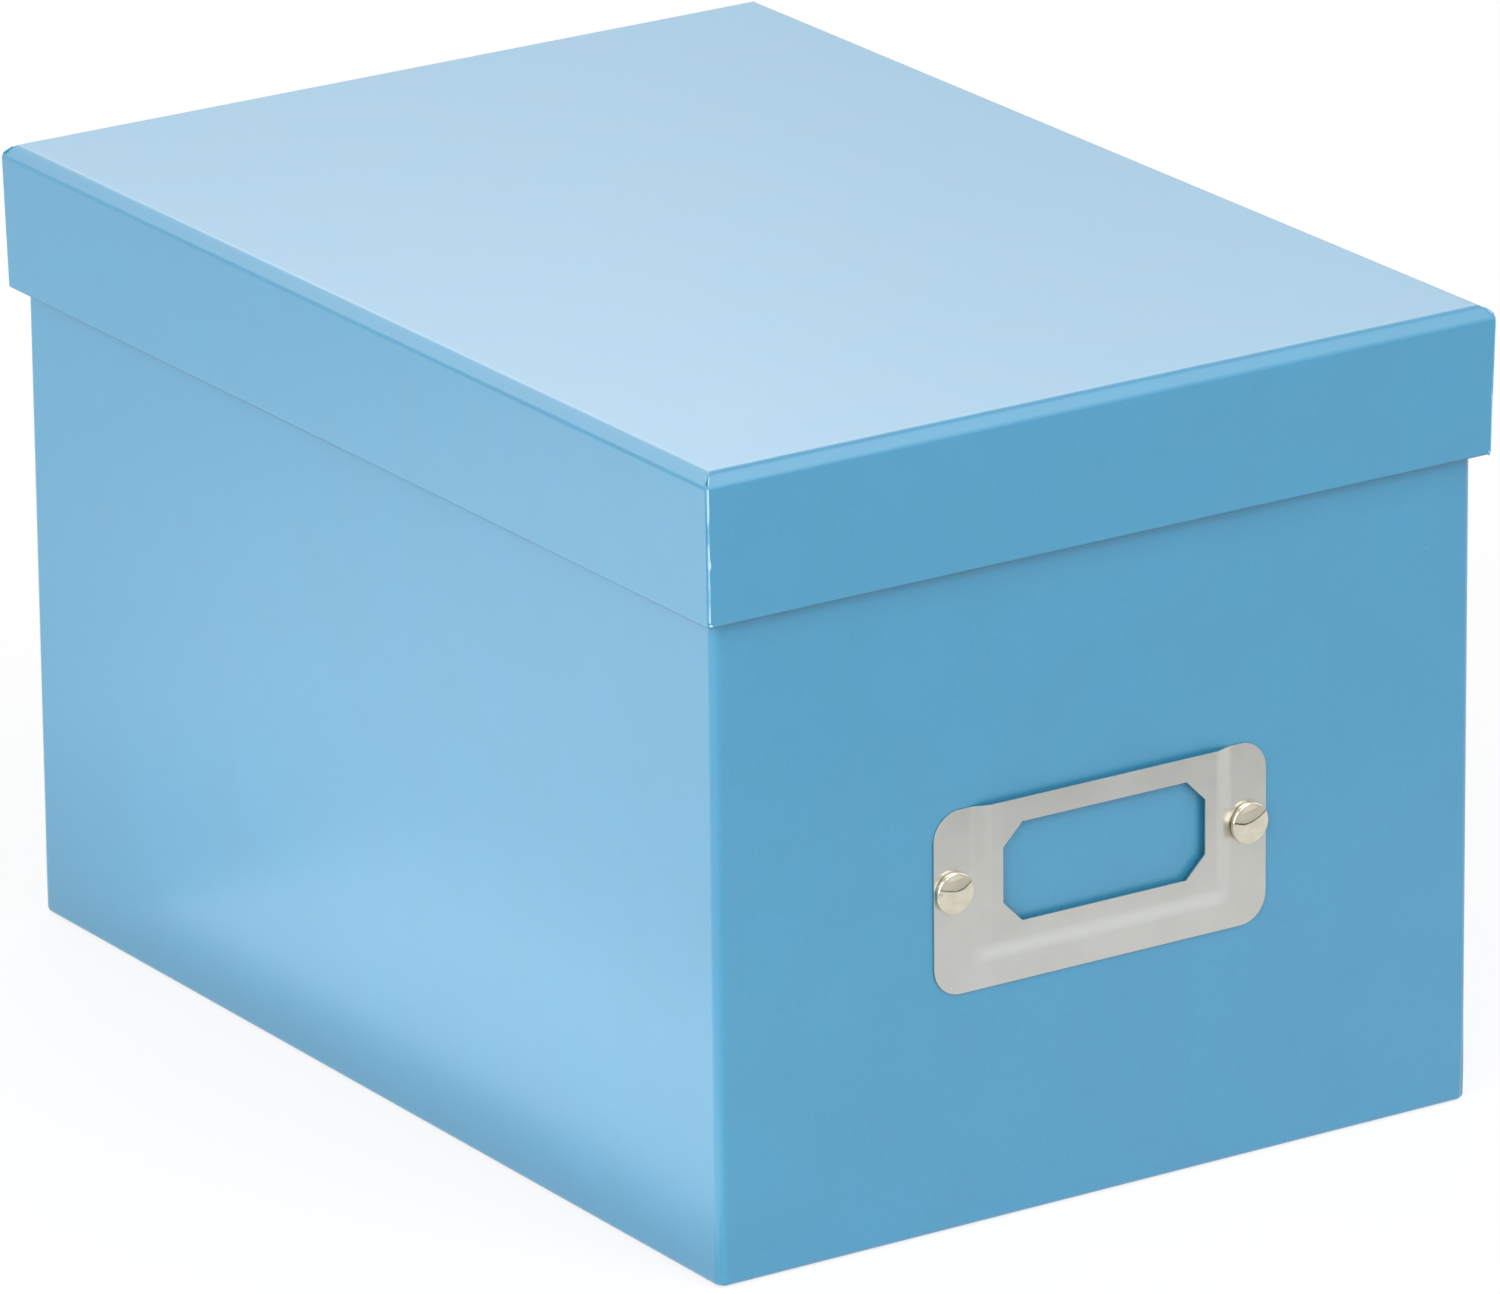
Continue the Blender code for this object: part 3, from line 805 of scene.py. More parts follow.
@dataclass(frozen=True)
class Plan:
    """The outline of one half of the box seen from above: a rounded rectangle round the origin."""

    half_x: float
    half_y: float
    corner: float
    least: float = 0.15 * MM
    steps: int = 10

    def radius(self, inset: float, extra: float = 0.0) -> float:
        """The outline's corner radius.

        Args:
            inset: How far the outline is drawn in.
            extra: How much rounder its corners are than the others.

        Returns:
            The radius.
        """
        return max(self.corner + extra - inset, self.least)

    def ring(
        self, work: bmesh.types.BMesh, inset: float, height: float, radius: float, keep: bool = False
    ) -> list[bmesh.types.BMEdge]:
        """Adds the outline at one height.

        Args:
            work: The mesh.
            inset: How far the outline is drawn in.
            height: Its height.
            radius: Its corner radius.
            keep: Whether it keeps its face, as a lid.

        Returns:
            Its edges.
        """
        points = bmesh.ops.create_grid(work, x_segments=1, y_segments=1, size=1.0)["verts"]
        bmesh.ops.scale(work, vec=(self.half_x - inset, self.half_y - inset, 1.0), verts=points)
        bmesh.ops.translate(work, vec=(0, 0, height), verts=points)
        shaped = round_off(work, points, "VERTICES", radius, self.steps)
        face = shaped["verts"][0].link_faces[0]
        edges = list(face.edges)
        if not keep:
            bmesh.ops.delete(work, geom=[face], context="FACES_ONLY")
        return edges

    def moved(self, at: Vector, inset: float, radius: float, new_inset: float, new_radius: float) -> Vector:
        """Where a point of one outline comes to lie on another.

        Args:
            at: The point, which lies on a corner's arc.
            inset: How far its outline is drawn in.
            radius: That outline's corner radius.
            new_inset: How far the other outline is drawn in.
            new_radius: The other outline's corner radius.

        Returns:
            The place in the plan.
        """
        half = Vector((self.half_x, self.half_y))
        spoke = (Vector((abs(at.x), abs(at.y))) - half + Vector((inset + radius,) * 2)) / radius
        flat = half - Vector((new_inset + new_radius,) * 2) + spoke * new_radius
        return flat * quadrant(at)

    def loft(
        self, path: list[Station], capped: bool, extra_at: Callable[[float], float]
    ) -> bmesh.types.BMesh:
        """A sheet whose (inset, height) path runs round the outline.

        Args:
            path: The path.
            capped: Whether the first outline is closed with a face.
            extra_at: How much rounder the corners are at a height.

        Returns:
            The mesh, its faces outwards.
        """
        work = bmesh.new()
        inset, height = path[0]
        radius = self.radius(inset, extra_at(height))
        edges = self.ring(work, inset, height, radius, capped)
        for new_inset, new_height in path[1:]:
            new_radius = self.radius(new_inset, extra_at(new_height))
            grown = bmesh.ops.extrude_edge_only(work, edges=edges)["geom"]
            for vertex in (item for item in grown if isinstance(item, bmesh.types.BMVert)):
                flat = self.moved(vertex.co, inset, radius, new_inset, new_radius)
                vertex.co = (flat.x, flat.y, new_height)
            edges = [item for item in grown if isinstance(item, bmesh.types.BMEdge)]
            inset, radius = new_inset, new_radius
        bmesh.ops.recalc_face_normals(work, faces=work.faces)
        return work


@dataclass
class Lid:
    """The lid: its board, tape and lining, and the covering paper that is cut and butted at its corners."""

    finishes: Finishes
    corner_radius: float = 0.55 * MM
    face_inset: float = 0.03 * MM
    paper: float = 0.16 * MM
    bevel: float = 2.145 * MM
    top_fold: float = 2.0 * MM
    side_fold: float = 1.2 * MM
    fold_radius: float = 0.5 * MM
    lean: float = 0.5 * MM
    wall: float = 2.2 * MM
    turn_in: float = 17 * MM
    fold_steps: int = 8
    panel: float = 12 * MM
    end_panels: tuple[float, float] = (4 * MM, 8 * MM)
    skirt_row: float = 1.5 * MM
    groove_depth: float = 0.16 * MM
    groove_turn: float = 45.0
    groove_spread: float = 26.0
    groove_foot: float = 0.3 * MM
    groove_head: float = 0.2 * MM
    worn_reach: float = 2 * MM
    # The height of the band under the lower fold that is made matt and darkened with painted shade.
    matt_and_painted_shade_height: float = 0.4 * MM
    edge_start: float = 0.22 * MM
    edge_width: float = 0.21 * MM
    edge_rise: float = 0.045 * MM
    gap_start: float = 0.41 * MM
    gap_width: float = 0.18 * MM
    strip_foot: float = 0.5 * MM
    strip_head: float = 0.15 * MM
    strip_depth: float = 0.14 * MM
    strip_round: float = 0.03 * MM
    strip_steps: int = 80
    wander_length: float = 2.2 * MM
    nick_share: float = 0.56
    nick_length: float = 2.6 * MM
    nick_rise: float = 0.04 * MM
    pucker_share: float = 0.5
    crumple_size: float = 0.3 * MM

    def __post_init__(self) -> None:
        """Takes the lid's place and size from the frame."""
        low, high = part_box("lid_wrap")
        self.base = low.z
        self.top = high.z
        self.half_x = high.x
        self.half_y = high.y
        self.skirt_top = self.top - self.bevel
        self.plan = Plan(self.half_x - self.face_inset, self.half_y - self.face_inset, self.corner_radius)

    def leaning(self, height: float) -> float:
        """How far the skirt has leaned in at a height."""
        return self.lean * (self.skirt_top - height) / (self.skirt_top - self.base)

    def build(self) -> None:
        """Builds and dresses the lid's pieces."""
        self.covering()
        for corner in Corner:
            self.seam(corner)
        dress("lid_board", self.finishes.board)
        dress("lid_liner", self.finishes.lining)
        for corner in Corner:
            dress(f"lid_corner_stay_{corner.name.lower()}", self.finishes.tape)

    def covering(self) -> None:
        """The covering paper: flat top, bevels, leaning skirts and the part turned in."""
        turned = self.base + self.turn_in
        path = filleted(
            [
                (self.bevel + self.bevel, self.top, 0.0),
                (self.bevel, self.top, self.top_fold),
                (0.0, self.skirt_top, self.side_fold),
                (self.lean, self.base, self.fold_radius),
                (self.lean + self.wall, self.base, self.fold_radius),
                (self.leaning(turned) + self.wall, turned, 0.0),
            ],
            self.fold_steps,
        )
        work = self.plan.loft(path, True, self.leaning)
        near = [self.half_y - end for end in self.end_panels]
        lines = spread(-near[1], near[1], self.panel) + near + [-line for line in near]
        slice_mesh(work, ALONG, sorted(lines))
        slice_mesh(work, ACROSS, spread(-self.half_x, self.half_x, self.panel))
        slice_mesh(work, UP, spread(self.base + MM, self.skirt_top - MM, self.skirt_row))
        self.press_grooves(work)
        paper = self.finishes.paper
        made = piece("lid_covering_paper", work, Body.LID, paper, ["lid_wrap"])
        paint(made, "worn", self.worn_at)
        # Paints the band under the lower fold that is made matt and darkened with painted shade.
        paint(made, "matt", self.matt_and_painted_shade_at)
        thicken(made, self.paper)
        weigh_normals(made)

    def press_grooves(self, work: bmesh.types.BMesh) -> None:
        """Sinks the line down each corner where the side's paper dives under the end's paper.

        Args:
            work: The covering's mesh.
        """
        for vertex in work.verts:
            at = vertex.co
            centre = self.arc_centre(at.z)
            spoke = Vector((abs(at.x), abs(at.y))) - centre
            on_skirt = self.base + self.groove_foot < at.z < self.skirt_top + self.groove_head
            on_arc = spoke.x > 0 and spoke.y > 0 and spoke.length > self.corner_radius - 0.2 * MM
            if not on_skirt or not on_arc:
                continue
            turn = degrees(atan2(spoke.x, spoke.y))
            uneven = 1 + 0.5 * noise.noise(Vector((at.z / (3 * MM), at.x * 40, at.y * 40)))
            sunk = self.groove_depth * uneven * lump(turn, self.groove_turn, self.groove_spread)
            at.xy -= spoke.normalized() * sunk * quadrant(at)

    def worn_at(self, at: Vector) -> float:
        """How worn the paper is at a place, which it is at the foot of the corners."""
        to_corner = hypot(self.half_x - abs(at.x), self.half_y - abs(at.y))
        at_foot = lump(at.z, self.base + 0.1 * MM, 0.5 * MM)
        return 0.25 * at_foot * eased(1 - to_corner / self.worn_reach)

    def matt_and_painted_shade_at(self, at: Vector) -> float:
        """How matt the paper is at a place, and how much painted shade darkens it, which happens under the
        lower fold.
        """
        return eased(1.25 - (at.z - self.base) / self.matt_and_painted_shade_height)

    def seam(self, corner: Corner) -> None:
        """The cut edges, the small raised fold above them and the tucked end below them, at one corner."""
        name = corner.name.lower()
        self.strip(corner, f"lid_seam_edge_{name}", self.edge_start, self.edge_width, self.edge_rise)
        self.strip(corner, f"lid_seam_gap_{name}", self.gap_start, self.gap_width, -self.edge_rise)
        self.pucker(corner, name)
        self.tuck(corner, name)

    def arc_centre(self, height: float) -> Vector:
        """The middle of the back right corner's arc in the plan, at a height."""
        drawn_in = self.face_inset + self.leaning(height) + self.corner_radius
        return Vector((self.half_x - drawn_in, self.half_y - drawn_in))

    def on_seam(self, corner: Corner, height: float, along: float, out: float) -> Vector:
        """A place by the seam.

        Args:
            corner: The corner.
            height: The height.
            along: How far it lies round the corner from the end's flat face, or back along that face.
            out: How far outwards it lies from the paper's face.

        Returns:
            The place.
        """
        sign_x, sign_y = corner.value
        turn = along / self.corner_radius
        spoke = Vector((sin(turn), cos(turn))) * (self.corner_radius + out)
        if along < 0:
            spoke = Vector((along, self.corner_radius + out))
        flat = self.arc_centre(height) + spoke
        return Vector((sign_x * flat.x, sign_y * flat.y, height))

    def strip(self, corner: Corner, name: str, start: float, width: float, rise: float) -> None:
        """A thin strip of raw edge down the corner: the end's paper with its nick, or the side's behind it.

        Args:
            corner: The corner.
            name: The piece's name.
            start: How far round the corner it starts.
            width: Its width.
            rise: How far it stands out from the paper's face, or below 0 how far it lies behind it.
        """
        raised = rise > 0
        low = self.base + self.strip_foot
        high = self.skirt_top - self.strip_head
        nick = high + (low - high) * self.nick_share
        work = bmesh.new()
        bmesh.ops.create_cube(work, size=1.0)
        slice_mesh(work, UP, spread(-0.5, 0.5, 1 / self.strip_steps))
        seed = 3.7 * corner.value[0] + 1.9 * corner.value[1]
        for vertex in work.verts:
            height = low + (vertex.co.z + 0.5) * (high - low)
            wander = noise.noise(Vector((height / self.wander_length, seed, 0.0)))
            flare = lump(height, nick, self.nick_length / 2) if raised else 0.0
            across = width * (1 + 0.35 * wander + 1.1 * flare)
            along = start - (vertex.co.y + 0.5) * across
            face = rise * (0.5 + 0.5 * wander) + self.nick_rise * flare if raised else rise
            out = face if vertex.co.x > 0 else -self.strip_depth
            vertex.co = self.on_seam(corner, height, along, out)
        bmesh.ops.recalc_face_normals(work, faces=work.faces)
        long_edges = [edge for edge in work.edges if edge.calc_face_angle(0.0) > 1.0]
        round_off(work, long_edges, "EDGES", self.strip_round, 1)
        piece(name, work, Body.LID, self.finishes.cut)

    def pucker(self, corner: Corner, name: str) -> None:
        """The two small lips of paper that gape where the bevels meet, with a dark sliver of painted shade in
        the gap between them.

        Args:
            corner: The corner.
            name: The corner's name, which ends the pieces' names.
        """
        side = corner.value[0] * corner.value[1]
        quarter = Matrix.Rotation(pi / 2, 3, "X")
        for part, material, size, aside, lean, rise in (
            # The first piece is painted shade: a dark sliver in the fold-shade finish where the gap between
            # the lips lies in shade.
            ("lid_fold_gap_shade", self.finishes.shade, (0.24, 1.15, 0.06), -0.02, 0.0, 0.0),
            ("lid_fold_lip", self.finishes.paper, (0.12, 1.2, 0.14), -0.2, 7.0, 0.04),
            ("lid_fold_edge", self.finishes.cut, (0.11, 1.2, 0.13), 0.16, -6.0, 0.04),
        ):
            work = bmesh.new()
            bmesh.ops.create_uvsphere(work, u_segments=20, v_segments=12, radius=MM)
            bmesh.ops.rotate(work, verts=work.verts, cent=ORIGIN, matrix=quarter)
            bmesh.ops.scale(work, verts=work.verts, vec=size)
            for vertex in work.verts:
                vertex.co.x *= 1 - 0.35 * vertex.co.y / (size[1] * MM)
            swing = Matrix.Rotation(radians(-lean * side), 3, "Z")
            settle(work, swing, (aside * side * MM, 0, rise * MM))
            self.set_on_mitre(work, corner, self.pucker_share)
            piece(f"{part}_{name}", work, Body.LID, material)

    def set_on_mitre(self, work: bmesh.types.BMesh, corner: Corner, share: float) -> None:
        """Lays a small shape on the line where two bevels meet.

        Args:
            work: The shape, which lies in XY round the origin with its length along Y and its face up.
            corner: The corner.
            share: How far up the line its middle goes, from 0 to 1.
        """
        sign_x, sign_y = corner.value
        along = Vector((-sign_x, -sign_y, 1.0)).normalized()
        facing = Vector((sign_x, sign_y, 2.0)).normalized()
        across = along.cross(facing)
        drawn_in = self.face_inset + share * self.bevel
        middle = Vector((self.half_x - drawn_in, self.half_y - drawn_in))
        at = Vector((sign_x * middle.x, sign_y * middle.y, self.skirt_top + share * self.bevel))
        settle(work, Matrix((across, along, facing)).transposed(), at)

    def tuck(self, corner: Corner, name: str) -> None:
        """The crumpled end of the seam at the lid's lower edge, with three small dark lumps of painted shade
        round it.

        Args:
            corner: The corner.
            name: The corner's name, which ends the pieces' names.
        """
        for part, material, radius, rise, along, sunk in (
            ("lid_tucked_end", self.finishes.cut, 0.3, 0.55, -0.1, 0.12),
            # The last three pieces are painted shade: dark lumps in the fold-shade finish where the crumpled
            # paper lies in shade.
            ("lid_tuck_shade", self.finishes.shade, 0.15, 0.95, 0.25, 0.1),
            ("lid_tuck_fold_shade", self.finishes.shade, 0.13, 0.8, -0.5, 0.1),
            ("lid_tuck_foot_shade", self.finishes.shade, 0.16, 0.12, -0.1, 0.1),
        ):
            work = bmesh.new()
            bmesh.ops.create_icosphere(work, subdivisions=3, radius=radius * MM)
            for vertex in work.verts:
                crumple = noise.noise(vertex.co / self.crumple_size + Vector((*corner.value, radius)))
                vertex.co += vertex.co.normalized() * crumple * 0.25 * radius * MM
            at = self.on_seam(corner, self.base + rise * MM, along * MM, -sunk * MM)
            bmesh.ops.translate(work, verts=work.verts, vec=at)
            piece(f"{part}_{name}", work, Body.LID, material)


@dataclass
class Tray:
    """The tray: its board, tape, lining and base sheet, and the belt of covering paper round its walls."""

    finishes: Finishes
    corner_radius: float = 1.8 * MM
    paper: float = 0.18 * MM
    base_radius: float = 0.9 * MM
    rim_radius: float = 0.5 * MM
    wall: float = 2.2 * MM
    turn_under: float = 12 * MM
    turn_in: float = 18 * MM
    fold_steps: int = 5
    panel: float = 12 * MM
    end_panels: tuple[float, float] = (3.4 * MM, 6 * MM)
    foot_rows: tuple[float, ...] = (1, 2, 3.5, 5, 7, 9, 12, 15, 19)
    crease_height: float = 19 * MM
    crease_depth: float = 0.14 * MM
    crease_spread: float = 0.3 * MM
    crease_drift: float = 16 * MM
    worn_reach: float = 3 * MM
    overlap_place: float = 52 * MM
    overlap_ramp: float = 16 * MM
    overlap_rise: float = 0.06 * MM
    overlap_step: float = 0.06 * MM

    def __post_init__(self) -> None:
        """Takes the tray's place and size from the frame."""
        low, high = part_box("tray_wrap")
        self.base = low.z
        self.rim = high.z
        self.half_x = high.x
        self.half_y = high.y
        self.plan = Plan(self.half_x, self.half_y, self.corner_radius, steps=16)

    def build(self) -> None:
        """Builds and dresses the tray's pieces."""
        self.belt()
        dress("tray_board", self.finishes.board)
        dress("tray_liner", self.finishes.lining)
        dress("tray_base_sheet", self.finishes.paper)
        for corner in Corner:
            dress(f"tray_corner_stay_{corner.name.lower()}", self.finishes.tape)

    def crease_share(self, height: float) -> float:
        """How strongly the corner's paper is creased at a height."""
        return eased(1 - (height - self.base) / self.crease_height)

    def belt(self) -> None:
        """The belt of covering paper: turned under, up the walls, over the rim and turned in."""
        path = filleted(
            [
                (self.turn_under, self.base, 0.0),
                (0.0, self.base, self.base_radius),
                (0.0, self.rim, self.rim_radius),
                (self.wall, self.rim, self.rim_radius),
                (self.wall, self.rim - self.turn_in, 0.0),
            ],
            self.fold_steps,
        )
        wall_end = 1 + self.fold_steps
        rows = [(0.0, self.base + self.base_radius + row * MM) for row in self.foot_rows]
        path = path[: wall_end + 1] + rows + path[wall_end + 1 :]
        work = self.plan.loft(path, False, lambda height: self.crease_spread * self.crease_share(height) ** 2)
        near = [self.half_y - end for end in self.end_panels]
        slice_mesh(work, ALONG, spread(-near[1], near[1], self.panel) + near + [-line for line in near])
        slice_mesh(work, ACROSS, spread(-self.half_x, self.half_x, self.panel))
        slice_mesh(work, ACROSS, [self.overlap_place, self.overlap_place + self.overlap_step])
        slice_mesh(work, UP, spread(self.base + self.crease_height + MM, self.rim - MM, self.panel))
        self.crease(work)
        self.overlap(work)
        paper = self.finishes.paper
        made = piece("tray_covering_paper", work, Body.TRAY, paper, ["tray_wrap"])
        paint(made, "worn", self.worn_at)
        thicken(made, self.paper)
        weigh_normals(made)

    def crease(self, work: bmesh.types.BMesh) -> None:
        """Gathers the paper at the foot of each corner into soft upright creases.

        Args:
            work: The belt's mesh.
        """
        work.normal_update()
        reach = self.corner_radius + self.crease_spread
        for vertex in work.verts:
            at = vertex.co
            from_end = Vector((abs(at.x) - self.half_x, abs(at.y) - self.half_y))
            on_arc = min(from_end) > -self.corner_radius
            if not on_arc or not 0.2 * MM < at.z - self.base < self.crease_height:
                continue
            turn = degrees(atan2(from_end.y + reach, from_end.x + reach)) / 90
            seed = (1 if at.x > 0 else 5) + (0.4 if at.y > 0 else 0.0)
            ripple = noise.noise(Vector((turn * 4.5, seed, at.z / self.crease_drift)))
            ridge = lump(turn, 0.42, 0.2) - 0.7 * lump(turn, 0.66, 0.16)
            depth = self.crease_depth * (0.7 * ridge + 0.8 * ripple) * self.crease_share(at.z)
            vertex.co += Vector((vertex.normal.x, vertex.normal.y, 0.0)) * depth

    def overlap(self, work: bmesh.types.BMesh) -> None:
        """Sinks the start of the belt where its end laps over it, on the back wall.

        Args:
            work: The belt's mesh.
        """
        for vertex in work.verts:
            on_back = vertex.co.y > self.half_y - 0.1 * MM
            past = vertex.co.x - self.overlap_place
            held = eased((vertex.co.z - self.base) / MM - 1) * eased((self.rim - vertex.co.z) / MM - 0.6)
            if on_back and past > 0.03 * MM:
                vertex.co.y -= self.overlap_rise * (1 - eased(past / self.overlap_ramp)) * held

    def worn_at(self, at: Vector) -> float:
        """How worn the paper is at a place, which it is along the rim and at the foot of the corners."""
        to_corner = hypot(self.half_x - abs(at.x), self.half_y - abs(at.y))
        foot = eased(1 - (at.z - self.base) / (1.2 * MM))
        rim = eased(1 - (self.rim - at.z) / (0.4 * MM))
        return 0.04 * foot + 0.3 * foot * eased(1 - to_corner / self.worn_reach) + 0.1 * rim


@dataclass
class LabelHolder:
    """The pressed steel label holder with its two split-leg fasteners."""

    finishes: Finishes
    steel: float = 0.4 * MM
    corner_radius: float = 5.5 * MM
    ear_width: float = 7.3 * MM
    side_slope: float = 4.4 * MM
    base_flange: float = 4.6 * MM
    base_slope: float = 3.8 * MM
    raised: float = 1.1 * MM
    window_side: float = 13.8 * MM
    window_top: float = 4.35 * MM
    window_base: float = 11.35 * MM
    window_chamfer: float = 4.05 * MM
    edge_round: float = 0.07 * MM
    slope_steps: int = 14
    cut_tolerance: float = 0.001 * MM
    hole_radius: float = 1.8 * MM
    hole_sides: int = 16
    hole_surroundings: float = 14 * MM
    cap_rim: float = 0.35 * MM
    cap_crown: float = 0.45 * MM
    cap_shell: float = 0.3 * MM
    cap_mouth: float = 2.2 * MM
    cap_rim_steps: int = 6
    cap_steps: int = 72
    crown_steps: int = 12
    facing_front: ClassVar[Matrix] = Matrix.Rotation(pi / 2, 3, "X")

    def __post_init__(self) -> None:
        """Takes the plate's and the caps' places from the frame."""
        low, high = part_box("label_frame")
        self.back = high.y
        self.half_x = (high.x - low.x) / 2
        self.half_z = (high.z - low.z) / 2
        self.middle = (low.z + high.z) / 2
        self.panel_foot = self.half_x - self.ear_width
        self.slope_foot = self.base_flange - self.half_z

    def build(self) -> None:
        """Builds and dresses the plate, the caps and the strips."""
        self.plate()
        for side in ("left", "right"):
            self.cap(side)
            dress(f"fastener_strip_{side}", self.finishes.nickel)

    def standing(self, x: float, z: float) -> float:
        """How far the plate's back stands off the wall.

        Args:
            x: Across, from the plate's middle.
            z: Upwards, from the plate's middle.

        Returns:
            The distance.
        """
        side = eased((self.panel_foot - abs(x)) / self.side_slope)
        base = eased((z - self.slope_foot) / self.base_slope)
        return self.raised * side * base

    def window_sides(self) -> list[tuple[Vector, Vector]]:
        """The window's eight sides, each as a point on it and its outward direction."""
        half_x = self.half_x - self.window_side
        half_z = self.half_z - (self.window_top + self.window_base) / 2
        rise = (self.window_base - self.window_top) / 2
        sides = []
        for across, up in ((1, 0), (0, 1), (-1, 0), (0, -1)):
            sides.append((Vector((across * half_x, up * half_z + rise, 0)), Vector((across, up, 0))))
        for sign_x, sign_z in ((1, 1), (-1, 1), (-1, -1), (1, -1)):
            at = Vector((sign_x * (half_x - self.window_chamfer), sign_z * half_z + rise, 0))
            sides.append((at, Vector((sign_x, sign_z, 0)).normalized()))
        return sides

    def painted_highlight_at(self, at: Vector) -> float:
        """How strong the painted highlight is at a place, which lies on the plate's lower slope."""
        up = at.z - self.middle - self.slope_foot
        across = eased((self.panel_foot - abs(at.x)) / self.side_slope)
        return lump(up, self.base_slope * 0.5, self.base_slope * 0.65) * across

    def plate(self) -> None:
        """The plate, pressed to shape, with its window and fastener holes."""
        work = bmesh.new()
        outline = Plan(self.half_x, self.half_z, self.corner_radius, steps=16)
        outline.ring(work, 0.0, 0.0, self.corner_radius, True)
        shares = [step / self.slope_steps for step in range(self.slope_steps + 1)]
        lines = [self.panel_foot - self.side_slope * share for share in shares]
        slice_mesh(work, ACROSS, lines + [-line for line in lines])
        slice_mesh(work, ALONG, [self.slope_foot + self.base_slope * share for share in shares])
        self.cut_out(work, self.window_sides())
        for side in ("left", "right"):
            self.cut_out(work, self.hole_sides_at(side), self.hole_surroundings)
        for vertex in work.verts:
            vertex.co.z = self.standing(vertex.co.x, vertex.co.y)
        bmesh.ops.recalc_face_normals(work, faces=work.faces)
        if sum(face.normal.z for face in work.faces) < 0:
            bmesh.ops.reverse_faces(work, faces=work.faces)
        grown = bmesh.ops.extrude_face_region(work, geom=work.faces[:])
        raised = [item for item in grown["geom"] if isinstance(item, bmesh.types.BMVert)]
        bmesh.ops.translate(work, verts=raised, vec=(0, 0, self.steel))
        bmesh.ops.recalc_face_normals(work, faces=work.faces)
        rims = [edge for edge in work.edges if edge.calc_face_angle(0.0) > radians(60)]
        round_off(work, rims, "EDGES", self.edge_round, 2)
        settle(work, self.facing_front, (0, self.back, self.middle))
        steel = self.finishes.steel
        made = piece("label_plate", work, Body.TRAY, steel, ["label_frame"])
        # Marks where the plate's lower slope gets its painted highlight.
        paint(made, "painted_highlight", self.painted_highlight_at)
        weigh_normals(made)

    def hole_sides_at(self, side: str) -> list[tuple[Vector, Vector]]:
        """The sides of the round hole behind a cap, each as a point on it and its outward direction."""
        low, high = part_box(f"fastener_cap_{side}")
        centre = Vector(((low.x + high.x) / 2, (low.z + high.z) / 2 - self.middle, 0))
        turns = [2 * pi * step / self.hole_sides for step in range(self.hole_sides)]
        spokes = [Vector((cos(turn), sin(turn), 0)) for turn in turns]
        return [(centre + spoke * self.hole_radius, spoke) for spoke in spokes]

    def cut_out(
        self, work: bmesh.types.BMesh, sides: list[tuple[Vector, Vector]], reach: float = inf
    ) -> None:
        """Cuts along the sides of an opening and takes out what lies within them all.

        Args:
            work: The flat plate.
            sides: The opening's sides, each as a point on it and its outward direction.
            reach: How far from the opening's middle the faces lie that are cut.
        """
        middle = sum((at for at, outward in sides), Vector()) / len(sides)
        for at, outward in sides:
            near = [face for face in work.faces if (face.calc_center_median() - middle).length < reach]
            cut = list({item for face in near for item in (*face.verts, *face.edges, face)})
            bmesh.ops.bisect_plane(work, geom=cut, plane_co=at, plane_no=outward, dist=self.cut_tolerance)
        inside = [
            face
            for face in work.faces
            if all((face.calc_center_median() - at).dot(outward) < 0 for at, outward in sides)
        ]
        bmesh.ops.delete(work, geom=inside, context="FACES")

    def cap(self, side: str) -> None:
        """A fastener's domed cap, a thin shell with its rim turned in.

        Args:
            side: Which one.
        """
        low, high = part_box(f"fastener_cap_{side}")
        radius = (high.z - low.z) / 2
        height = high.y - low.y
        shoulder = height - self.cap_crown
        outline = filleted(
            [
                (self.cap_mouth, 0.0, 0.0),
                (radius, 0.0, self.cap_rim),
                (radius, shoulder, self.cap_rim),
                (0.0, shoulder, 0.0),
            ],
            self.cap_rim_steps,
        )[:-1]
        outer = outline + self.crown(radius - self.cap_rim, height)[1:]
        inside = radius - self.cap_shell
        inner = [(self.cap_mouth, self.cap_shell), (inside, self.cap_shell)]
        inner += self.crown(inside, height - self.cap_shell)
        work = bmesh.new()
        self.turn(work, outer + [(0.0, height)])
        self.turn(work, inner + [(0.0, height - self.cap_shell)])
        mouth = [edge for edge in work.edges if edge.is_boundary]
        bmesh.ops.bridge_loops(work, edges=mouth)
        bmesh.ops.recalc_face_normals(work, faces=work.faces)
        settle(work, self.facing_front, ((low.x + high.x) / 2, high.y, (low.z + high.z) / 2))
        nickel = self.finishes.nickel
        piece(f"domed_cap_{side}", work, Body.TRAY, nickel, [f"fastener_cap_{side}"])

    def crown(self, radius: float, height: float) -> list[Station]:
        """The points of the shallow dome, from its edge to beside its middle.

        Args:
            radius: The dome's radius.
            height: The height of its middle.

        Returns:
            The points.
        """
        ball = (radius * radius + self.cap_crown * self.cap_crown) / (2 * self.cap_crown)
        places = [radius * (1 - step / self.crown_steps) for step in range(self.crown_steps)]
        return [(x, height - ball + (ball * ball - x * x) ** 0.5) for x in places]

    def turn(self, work: bmesh.types.BMesh, profile: list[Station]) -> None:
        """Turns a (radius, height) profile that ends on the axis round Z.

        Args:
            work: The mesh that it is added to.
            profile: The profile.
        """
        points = [work.verts.new((x, 0.0, height)) for x, height in profile]
        edges = [work.edges.new(pair) for pair in zip(points, points[1:])]
        turned = {"geom": points + edges, "cent": ORIGIN, "axis": UP, "angle": 2 * pi}
        bmesh.ops.spin(work, **turned, steps=self.cap_steps, use_merge=True)
        bmesh.ops.remove_doubles(work, verts=work.verts, dist=MERGE_DISTANCE)


